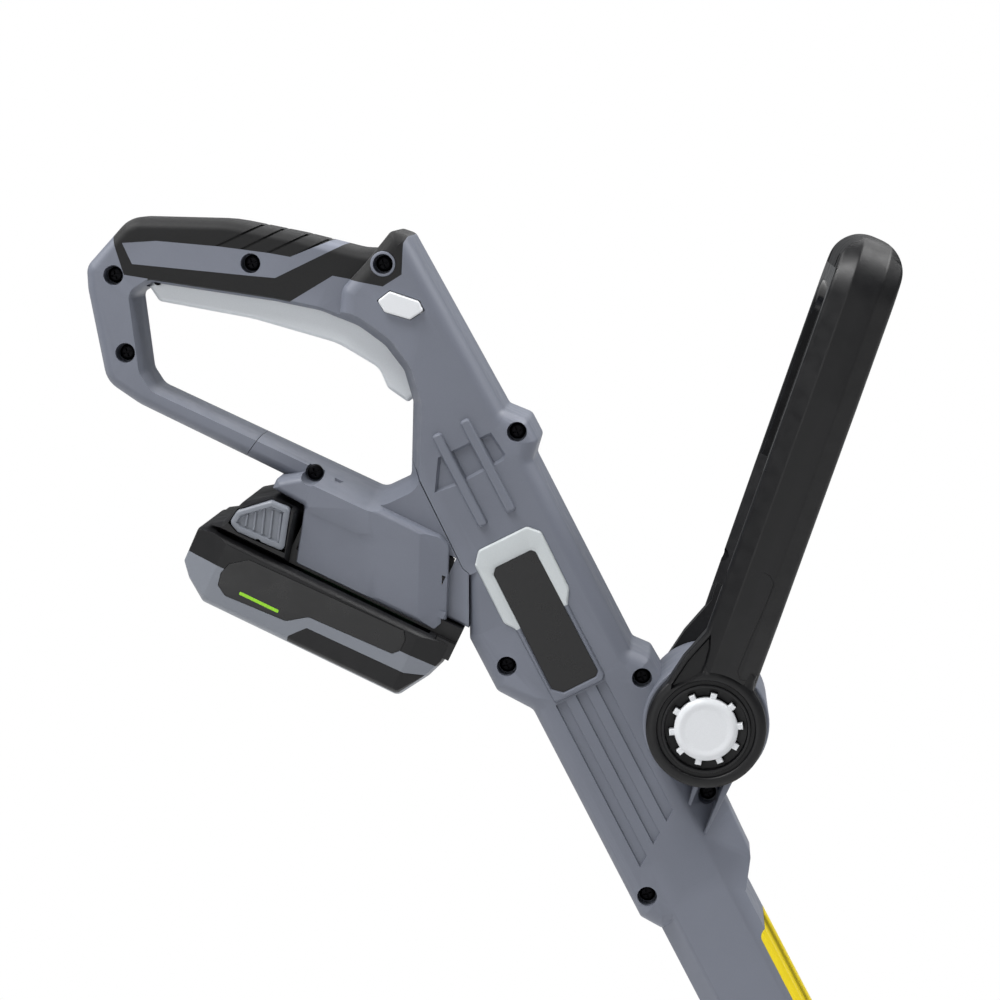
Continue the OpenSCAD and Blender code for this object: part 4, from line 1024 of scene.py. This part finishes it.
def buildDock():
    body = moulding("batteryDockRight", alongBattery, dock["line"], roundTop(dock["y"], 7, 3, 6))
    cutAway(body, sunkPanel(), fallAway(*dock["crease"], dock["y"], 11.0, 3.4))
    addOn(body, moulding("dockBase", alongBattery, dock["base"], roundTop(barrelY, 2, 1.4, 4)))
    addOn(body, ringForm())
    keepWithin(body, dockZone(dock["seam"]))
    hollow = [block("hollow", alongBattery, (-300, -31, -60), (-124.6, 1, 8.6)),
              block("midHollow", alongBattery, (-130, -23.5, -60), (-117.5, 1, 8.6)),
              block("upperHollow", alongBattery, (-178, -28, 8), (-124, 1, 17)),
              block("endHollow", alongBattery, (-130, -31, -60), (-100, 1, -7.9))]
    cutAway(body, gapForm(), *hollow)
    addOn(body, block("rail", alongBattery, (-184, -31.5, -8), (-118, -28, -5)))
    cutAway(body, *screwRecesses((5,)), block("terminalGap", alongBattery, (-119, -24, -4), (-113.4, 1, 6)))
    finishSides(body, "main", "dock", "battery_dock_{}", 0.28)


def buildTrigger():
    half = trigger["width"] / 2
    lever = moulding("trigger", atPivot, trigger["line"], bothWays(roundTop(half, 3.2, 2, 6)), fine=6)
    cutAway(lever, rod("pinHole", atPivot, trigger["pivot"], 1.56, -12, 12, 20))
    finishPiece(lever, "trigger", "trigger_plastic", ("trigger",), 0.15)


def buildLockButtons():
    line = [(x, z, 1.2) for x, z in lockButton["line"]]
    top = barrelY + lockButton["proud"]
    button = moulding("lockButtonRight", atPivot, line, roundTop(top, 0.8, 0.8, 4, 16.2), fine=8)
    addOn(button, disc("stub", atPivot, lockButton["centre"], [(12.5, 1.8), (12.7, 2), (17, 2)], 20))
    finishSides(button, "lock_off_{}", "button_plastic", "lock_button_{}", 0.12)


def bezelPart(name, slope, low, high):
    floor = barrelY - bezel["thick"] + bezel["proud"]
    top = barrelY + bezel["proud"]
    sunk = top - bezel["sunk"]
    layers = [(floor, 0), (top - 0.9, 0), (top - 0.1, 0.6), (top, 0.9)]
    part = moulding(name, alongShaft, bezel["line"], layers)
    inner = [(sunk - 0.4, 0), (sunk, 0), (top + 0.02, -slope), (top + 2, -slope)]
    cutAway(part, moulding("opening", alongShaft, grown(bezel["plate"], 0.1), inner))
    return keepWithin(part, block("part", alongShaft, (-40, -60, low), (40, 0, high)))


def buildBezel():
    top = barrelY + bezel["proud"]
    upper = bezelPart("labelBezel", 1.7, bezel["splitAt"], 150)
    finishPiece(upper, "main", "trim", ("label_bezel",), 0.15)
    lower = bezelPart("labelBezelLower", 0.5, 20, bezel["splitAt"])
    finishPiece(lower, "main", "housing", (), 0.1)
    floor = top - bezel["sunk"]
    plate = moulding("ratingPlate", alongShaft, bezel["plate"],
                     [(floor - 0.5, 0.02), (floor - 0.1, 0.02), (floor, 0.1)])
    finishPiece(plate, "main", "plate", ("rating_plate",), 0)


def screwHead(centre, floor):
    radius, height = screws["head"], screws["headHeight"]
    pan = [(floor - 0.02, radius - 0.05), (floor + height * 0.45, radius)]
    for k in range(1, 6):
        a = math.radians(90 * k / 5)
        top = floor + height * (0.45 + 0.55 * math.sin(a))
        pan.append((top, radius - radius * 0.42 * (1 - math.cos(a))))
    head = disc("screwHead", atPivot, centre, pan, 32)
    cut = []
    c = Vector(centre)
    layers = [(floor + height * 0.35, 0.12), (floor + height + 1, -0.05)]
    for turn in (20, 110):
        d = pointing(turn)
        reach = d * (radius * 0.56)
        cut.append(moulding("recess", atPivot, sharp(strip(c - reach, c + reach, leftOf(d) * 0.42)), layers))
    return cutAway(head, *cut)


def buildHousingScrews():
    parts = []
    for i, centre in enumerate(screws["places"]):
        floor = screws["rim"][i] - screws["sunk"]
        shank = screws["shank"] + [(floor, screws["shank"][-1][1])]
        parts += [screwHead(centre, floor), disc("shank", atPivot, centre, shank, 20)]
    whole = joined("housingScrews", parts)
    finishPiece(whole, "main", "screw_steel", ("housing_screws",), 0.06)


# ---- battery pack

battery = {
    "y": 39.0,
    "case": [(-212, -45.3, 4), (-121, -45.3, 4), (-113, -32, 3), (-110, -24, 3), (-109.5, -14.6, 1),
             (-219, -14.6, 1), (-226.8, -17, 3), (-226.4, -33, 2), (-221.5, -38.7, 2)],
    "block": [(-224, -14.6, 0), (-186.2, -14.6, 0), (-191.6, 8, 2), (-203, 8.6, 3), (-214.5, 0, 3),
              (-218.4, -11, 2)],
    "panel": [(-208.5, -34.9, 0.8), (-204, -37.6, 1.5), (-176.5, -36.1, 4), (-168.7, -30.4, 3),
              (-130.8, -29, 1.2), (-128.2, -26.3, 1.2), (-128.3, -21.2, 1.2), (-130.2, -18.1, 1),
              (-200.8, -19.5, 2), (-208, -24.8, 1.5), (-209.5, -29.7, 2)],
    "bumper": [(-167.5, -35, 1), (-173, -41.4, 1), (-172.4, -46, 0), (-118, -46, 0), (-111, -34, 0),
               (-113, -31.2, 1), (-123, -34.3, 1)],
    "bumperT": 2.4, "labelT": 0.6, "towerY": 30.6, "towerTop": 8.0, "grooveY": 27.6, "railW": (-8.0, -5.0),
    "bladeY": (-18, -9, 0, 9, 18),
    "latch": [(-215.4, -9.4, 0), (-210.8, -11.4, 0), (-202.1, -11.1, 0), (-189.7, -10.5, 0),
              (-194.9, 7.2, 0), (-203.4, 6.9, 0), (-214.6, -3.2, 0)],
    "upper": [(-232, -28), (-209.8, -27.6), (-126, -26.5), (-98, -26.3), (-98, 2), (-232, 2)],
    "ribs": [((-210, -2.6), (-208.6, -7.9)), ((-207.4, 0), (-204.8, -8)), ((-204.7, 2.7), (-201, -8)),
             ((-201.2, 3.3), (-197.4, -8.2)), ((-197.6, 3.7), (-193.5, -7.9))],
    "accent": [(-199, -34.6, 0.4), (-181, -34.6, 0.4), (-181, -33.2, 0.4), (-199, -33.2, 0.4)],
    "free": 0.4,
}


def sideSlab(name, plan, low, high, grow=0.0):
    return onBothSides(name, slab(name, alongBattery, plan, low, high, grow, 9.0))


def caseForm():
    y = battery["y"]
    layers = [(y - 9, 0), (y - 6.5, 0.25), (y - 4.2, 0.8), (y - 2, 1.6), (y - 0.8, 2.4), (y - 0.2, 3.1),
              (y, 3.5)]
    body = moulding("batteryCase", alongBattery, battery["case"], bothWays(layers), fine=7)
    left = fallAway((-212, -50), (-212, 0), y, 15.0, 4.4, -20)
    right = fallAway((-124.5, 0), (-124.5, -50), y, 14.0, 3.0, -20)
    return cutAway(body, onBothSides("leftFacet", left), onBothSides("rightFacet", right))


def buildBatteryCase():
    y = battery["y"]
    body = caseForm()
    bumper = copied(body, "batteryBumper")
    cutAway(body, block("cellSpace", alongBattery, (-218.5, -34.5, -37.2), (-120.5, 34.5, -7.2)),
            sideSlab("bumperSeat", battery["bumper"], y - battery["bumperT"], y + 9, 0.05),
            sideSlab("labelSeat", battery["panel"], y - battery["labelT"], y + 9, 0.12),
            block("frontSpace", alongBattery, (-117.2, -36.2, -22.2), (-97.2, 36.2, -2.2)))
    upper = copied(body, "batteryCaseUpper")
    zone = slab("upper", alongBattery, sharp(battery["upper"]), -60, 60)
    keepWithin(upper, copied(zone, "upper"))
    cutAway(body, zone)
    finishPiece(body, "battery", "battery_grey", ("battery_case",), 0.2)
    finishPiece(upper, "battery", "black_plastic", (), 0.2)
    keepWithin(bumper, sideSlab("bumper", battery["bumper"], y - battery["bumperT"], y + 9))
    finishPiece(bumper, "battery", "black_plastic", ("battery_bumper",), 0.3)
    label = moulding("batteryLabels", alongBattery, battery["panel"],
                     [(y - battery["labelT"], 0), (y - 0.12, 0), (y, 0.12)], fine=6)
    seat = slab("accentSeat", alongBattery, battery["accent"], y - 0.25, y + 1)
    accent = slab("batteryAccent", alongBattery, battery["accent"], y - 0.25, y - 0.02, -0.03)
    cutAway(label, seat)
    labels = onBothSides("batteryLabels", label)
    finishPiece(labels, "battery", "plate", ("battery_labels",), 0)
    finishPiece(onBothSides("batteryAccent", accent), "battery", "plate", (), 0, "accentGreen")


def buildBatteryFrame():
    t = battery["towerY"]
    body = block("batteryFrame", alongBattery, (-188, -t, -14.6), (-125, t, battery["towerTop"]))
    tongue = block("tongue", alongBattery, (-188, -23, -14.4), (-118, 23, battery["towerTop"] - 0.2))
    layers = [(0, 0), (29, 0), (31.5, 0.25), (34.5, 0.8), (36, 1.3), (37, 1.8)]
    collar = moulding("collar", alongBattery, battery["block"], bothWays(layers), fine=7)
    cutAway(collar, sideSlab("latchGap", sharp(grown(battery["latch"], battery["free"])), 20, 50))
    addOn(body, collar, tongue, block("neck", alongBattery, (-126, -t, -14.6), (-108.4, t, -8.4)),
          block("endPlate", alongBattery, (-117, -36, -22), (-108.4, 36, -14.8)),
          block("endTop", alongBattery, (-117, -t, -22), (-108.4, t, -8.4)))
    low, high = battery["railW"]
    cuts = []
    for s in (-1, 1):
        a, b = sorted((s * battery["grooveY"], s * (t + 20)))
        cuts.append(block("railGroove", alongBattery, (-186, a, low - 0.3), (-96, b, high + 0.3)))
    cuts.append(block("inside", alongBattery, (-186, -26, -30), (-124, 26, 4.5)))
    for y in battery["bladeY"]:
        cuts.append(block("bladeSlot", alongBattery, (-134, y - 1.4, -3), (-114, y + 1.4, 5)))
    for k in range(9):
        for s in (-1, 1):
            a, b = sorted((s * (34 - 4 * k), s * (32.4 - 4 * k)))
            cuts.append(block("endRib", alongBattery, (-109.4, a, -20), (-107.4, b, -11)))
    cutAway(body, *cuts)
    finishPiece(body, "battery", "black_plastic", ("battery_frame",), 0.35)


def buildLatches():
    plan = [(x, z, r) for (x, z, q), r in zip(battery["latch"], (2.5, 1, 0, 2, 2.5, 2.5, 3.5))]
    top = [(29, 0), (36.4, 0), (36.9, 0.08), (37.4, 0.35), (37.8, 0.8), (38, 1.3)]
    press = moulding("latchRight", alongBattery, plan, top, fine=7)
    pocket = moulding("pocket", alongBattery, plan, [(36.5, 3.1), (37.1, 2.7), (39, 1.9)], fine=7)
    layers = [(0, 0), (37.0, 0), (37.35, 0.12), (37.55, 0.35)]
    for a, b in battery["ribs"]:
        n = leftOf(direction(a, b)) * 0.55
        line = [(*p, 0.5) for p in strip(Vector(a), Vector(b), n)]
        cutAway(pocket, moulding("rib", alongBattery, line, layers, fine=20))
    notch = rod("notch", alongBattery, (-201.3, -11.5), 1.3, 20, 60, 20)
    cutAway(press, pocket, notch)
    tidyMesh(press, 0.02)
    finishSides(press, "battery_latch_{}", "battery_grey", "latch_{}", 0.12)


# ---- front handle

handle = {
    "reach": 213.5, "depth": 27.0, "halfW": 50.0, "inW": 35.5, "topIn": 185.5, "wall": 2.5,
    "hubY": 29.5, "hubTop": 41.1, "hubGap": 24,
    "rim": [(29.5, 25), (39.1, 25), (39.9, 24.8), (40.7, 24), (41.1, 22.6), (41.1, 21), (40.6, 20.4),
            (39.6, 20.2), (39.6, 18.7), (40.7, 18.4), (40.9, 17.9), (40.7, 17.4), (37.3, 17.0),
            (36.9, 13.6), (32.6, 13.6), (32.6, 12.06), (29.5, 12.06)],
    "web": [(-12.4, 50), (-11.9, 42), (-18.6, 25.2), (-21.7, 12.8), (-20, 4), (0, 4), (0, 50)],
    "neck": [(8, 30), (12.6, 28), (12.4, 25.4), (13, 22.2), (14.8, 19.6), (18, 16.2), (21.6, 12.4), (8, 4)],
    "pool": [(-11.2, 38), (-16.6, 24.8), (-19.6, 13.0), (-19.2, 11.2), (-17.0, 13.4), (-12.6, 16.9),
             (-9.4, 21.3), (-9.0, 26), (-9.4, 32)],
    "tongue": [(-0.02, 70.2, 0), (3.2, 69.8, 2), (5.7, 67.2, 2.2), (5.6, 60, 0), (4.5, 42, 0),
               (4.0, 27.4, 1.4), (6.4, 24.4, 1.4), (14, 25.6, 0), (40, 25.6, 0), (40, -30, 0),
               (-0.02, -30, 0)],
    "insert": [(-30, 110), (-9.6, 109), (-9.6, 196.5), (-30, 199)],
    "screws": [(37.9, 62), (-37.9, 62), (30, 199.5), (-30, 199.5)],
    "teeth": 10, "toothTurn": 24.4, "buttonR": 15.3, "coreEnd": 28.2, "travel": 4.2,
}


def loopLine():
    h, w, i, r = handle["hubTop"] - 0.6, handle["halfW"], handle["inW"], handle["reach"]
    b, t = handle["hubY"] + 0.4, handle["topIn"]
    return [(b, -12, 2), (h, -12, 2), (h, 14, 12), (w - 4.8, 50, 40), (w, 145, 60), (w, r, 26), (-w, r, 26),
            (-w, 145, 60), (4.8 - w, 50, 40), (-h, 14, 12), (-h, -12, 2), (-b, -12, 2), (-b, 24, 30),
            (-i, 145, 60), (-i, t, 13), (i, t, 13), (i, 145, 60), (b, 24, 30)]


def loopSide(d=0.0):
    r = handle["depth"] / 2 - d
    top = handle["reach"] - handle["depth"] / 2
    plan = [(-r, -20, 0), (r, -20, 0)]
    for degrees in range(0, 181, 6):
        a = math.radians(degrees)
        plan.append((r * math.cos(a), top + r * math.sin(a), 0))
    return slab("loopSide", alongHandle, plan, -70, 70)


def loopForm():
    y = handle["depth"] / 2
    layers = [(0, 0), (y - 8.0, 0), (y - 7.4, 0.1), (y - 6.9, 0.3), (y - 1.6, 3.1), (y - 1.0, 3.5),
              (y - 0.45, 4.1), (y, 4.9)]
    form = moulding("loopForm", alongHandle, loopLine(), layers, 0, 6, frontView)
    return keepWithin(form, loopSide())


def loopHollow(w=handle["wall"], posted=True):
    y = handle["depth"] / 2
    layers = [(-1, w), (y - 7.5, w), (y - 5, w + 0.5), (y - w, w + 1.6)]
    form = moulding("loopHollow", alongHandle, loopLine(), layers, 0, 15, frontView)
    keepWithin(form, loopSide(w))
    posts = []
    if posted:
        posts = [rod("post", alongHandle, c, 4.2, -20, 20, 24, frontView) for c in handle["screws"]]
    return cutAway(form, block("low", alongHandle, (-50, -60, -30), (50, 60, 36)), *posts)


def flippedFront(obj, name):
    return copied(obj, name, alongHandle @ Matrix.Scale(-1, 4, (1, 0, 0)) @ alongHandle.inverted())


def allTeeth(half, reach, layers):
    out = []
    for k in range(handle["teeth"]):
        d = pointing(handle["toothTurn"] + 360 * k / handle["teeth"])
        plan = sharp(strip(d * 8, d * reach, leftOf(d) * half))
        out.append(moulding("tooth", alongHandle, plan, layers))
    return out


def hubRim():
    rim = disc("hubRim", alongHandle, (0, 0), handle["rim"], 72, closed=True)
    return cutAway(rim, *allTeeth(1.7, handle["buttonR"] + 0.4, [(32.75, 0), (60, 0)]))


def hubGap(low, high):
    return rod("hubGap", alongHandle, (0, 0), handle["hubGap"], low, high, 72)


def buildHandle():
    half = loopForm()
    half.name = "handleFrontShell"
    hollow = loopHollow()
    rear = flippedFront(half, "handleRearShell")
    rearHollow = flippedFront(hollow, "rearHollow")
    cuts = [rod("screwHole", alongHandle, p, 1.65, -1, 8, 16, frontView) for p in handle["screws"]]
    insert = copied(rear, "handleInsertAndShade")
    cutAway(half, hollow, *cuts)
    tongue = slab("tongue", alongHandle, handle["tongue"], -70, 70)
    cutAway(tongue, hubGap(-90, 90))
    tab = keepWithin(copied(half, "tab"), tongue)
    finishPiece(tab, "front_handle", "handle_plastic", (), 0)
    cutAway(half, slab("tongue", alongHandle, handle["tongue"], -70, 70, 0.12))
    finishPiece(half, "front_handle", "handle_plastic", ("handle_front_shell",), 0.35)
    shallow = loopHollow(1.7, False)
    core = flippedFront(shallow, "insertCore")
    forget([shallow])
    zone = slab("insertZone", alongHandle, sharp(handle["insert"]), -44.5, 44.5)
    cutAway(zone, core)
    keepWithin(insert, copied(zone, "zone"))
    # the flush insert in darker gloss black paints the shade of a rebate along the arm's inner rear edge
    finishPiece(insert, "front_handle", "handle_plastic", (), 0.1, "glossBlackAndShade")
    cutAway(rear, hubGap(-60, 60), rearHollow, zone)
    top = handle["hubY"] + 0.3 + 10.6
    layers = [(handle["hubY"] + 0.4, 0), (top - 1.4, 0), (top - 0.6, 0.3), (top - 0.1, 0.9), (top, 1.2)]
    web = moulding("web", alongHandle, sharp(handle["web"]), layers)
    addOn(web, moulding("neck", alongHandle, sharp(handle["neck"]), layers))
    cutAway(web, hubGap(0, 60))
    addOn(web, hubRim())
    other = copied(web, "web", mirrored)
    addOn(rear, web, other)
    layers = [(top - 1.3, 0.7), (top + 0.02, -0.1), (top + 3, -0.1)]
    pool = moulding("pool", alongHandle, sharp(handle["pool"]), layers)
    cuts = [pool, copied(pool, "pool", mirrored)]
    for p in handle["screws"]:
        cuts.append(rod("headHole", alongHandle, p, 3.6, -30, -9, 28, frontView))
        cuts.append(rod("screwHole", alongHandle, p, 1.75, -30, 1, 16, frontView))
    cutAway(rear, *cuts)
    finishPiece(rear, "front_handle", "handle_plastic", ("handle_rear_shell",), 0.3)


def buildAdjustButtons():
    teethFrom = handle["hubY"] + 3.1 + handle["travel"] + 0.2
    top = handle["hubTop"] + 1.0
    r = 13.2
    profile = [(20, 5.6), (20.4, 6), (handle["coreEnd"] + 1, 6)]
    stem = disc("adjustButtonRight", alongHandle, (0, 0), profile, 40)
    core = rod("core", alongHandle, (0, 0), 12, handle["coreEnd"], teethFrom + 0.1, 64)
    cap = [(teethFrom, r), (top - 1.6, r), (top - 1.1, r - 0.35), (top - 0.5, r - 1.0), (top - 0.1, r - 1.7),
           (top, r - 2.2), (top, r - 3.0), (top - 0.18, r - 3.6), (top - 0.3, r - 4.6)]
    addOn(stem, core, disc("cap", alongHandle, (0, 0), cap, 64))
    high = handle["hubTop"] - 0.3
    addOn(stem, *allTeeth(1.3, handle["buttonR"], [(teethFrom, 0), (high - 0.3, 0), (high, 0.3)]))
    finishSides(stem, "adjuster_{}", "button_plastic", "adjust_button_{}", 0.15)


def buildHandleScrews():
    parts = []
    back = frontView @ Matrix.Scale(-1, 4, (0, 0, 1))
    head = [(8.98, 3.15), (10.2, 3.2), (11.0, 2.7), (11.4, 1.7), (10.7, 0.9)]
    for p in handle["screws"]:
        parts.append(disc("shank", alongHandle, p, [(-9, 1.6), (6.4, 1.6), (7, 1.2)], 20, frontView))
        parts.append(disc("head", alongHandle, p, head, 32, back))
    whole = joined("handleScrews", parts)
    finishPiece(whole, "front_handle", "screw_steel", ("handle_screws",), 0)


# ---- nodes carried over from the construction

softEdges = {"width": 0.35, "segments": 2, "limit": 32.0, "weld": 0.00001, "flat": 0.6}
plainNodes = ("bump_spring", "trigger_spring", "lock_off_springs", "latch_springs", "handle_springs",
              "edge_guide")


def roundEdges(obj):
    weld = obj.modifiers.new("weld", "WELD")
    weld.merge_threshold = softEdges["weld"]
    flat = obj.modifiers.new("flat", "DECIMATE")
    flat.decimate_type = "DISSOLVE"
    flat.angle_limit = math.radians(softEdges["flat"])
    bevel = obj.modifiers.new("softEdge", "BEVEL")
    bevel.width = softEdges["width"] * mm
    bevel.segments = softEdges["segments"]
    bevel.limit_method = "ANGLE"
    bevel.angle_limit = math.radians(softEdges["limit"])
    bevel.use_clamp_overlap = True
    bevel.harden_normals = False
    even = obj.modifiers.new("even", "WEIGHTED_NORMAL")
    even.keep_sharp = True


def dressNodes():
    slots = {part["node"]: part["material_slot"] for part in frame["record"]["subparts"]}
    for name, obj in nodes.items():
        skin = finishes[slotFinish[slots[name]]]
        if obj.material_slots:
            for held in obj.material_slots:
                held.link = "OBJECT"
                held.material = skin
        else:
            obj.data.materials.append(skin)
        if name not in plainNodes:
            roundEdges(obj)


stages = (buildStudio, makeFinishes, dressNodes, buildHousing, buildCovers, buildBand, buildDock,
          buildTrigger, buildLockButtons, buildBezel, buildHousingScrews, buildBatteryCase,
          buildBatteryFrame, buildLatches, buildHandle, buildAdjustButtons, buildHandleScrews)
for stage in stages:
    stage()
    print(stage.__name__, "done")
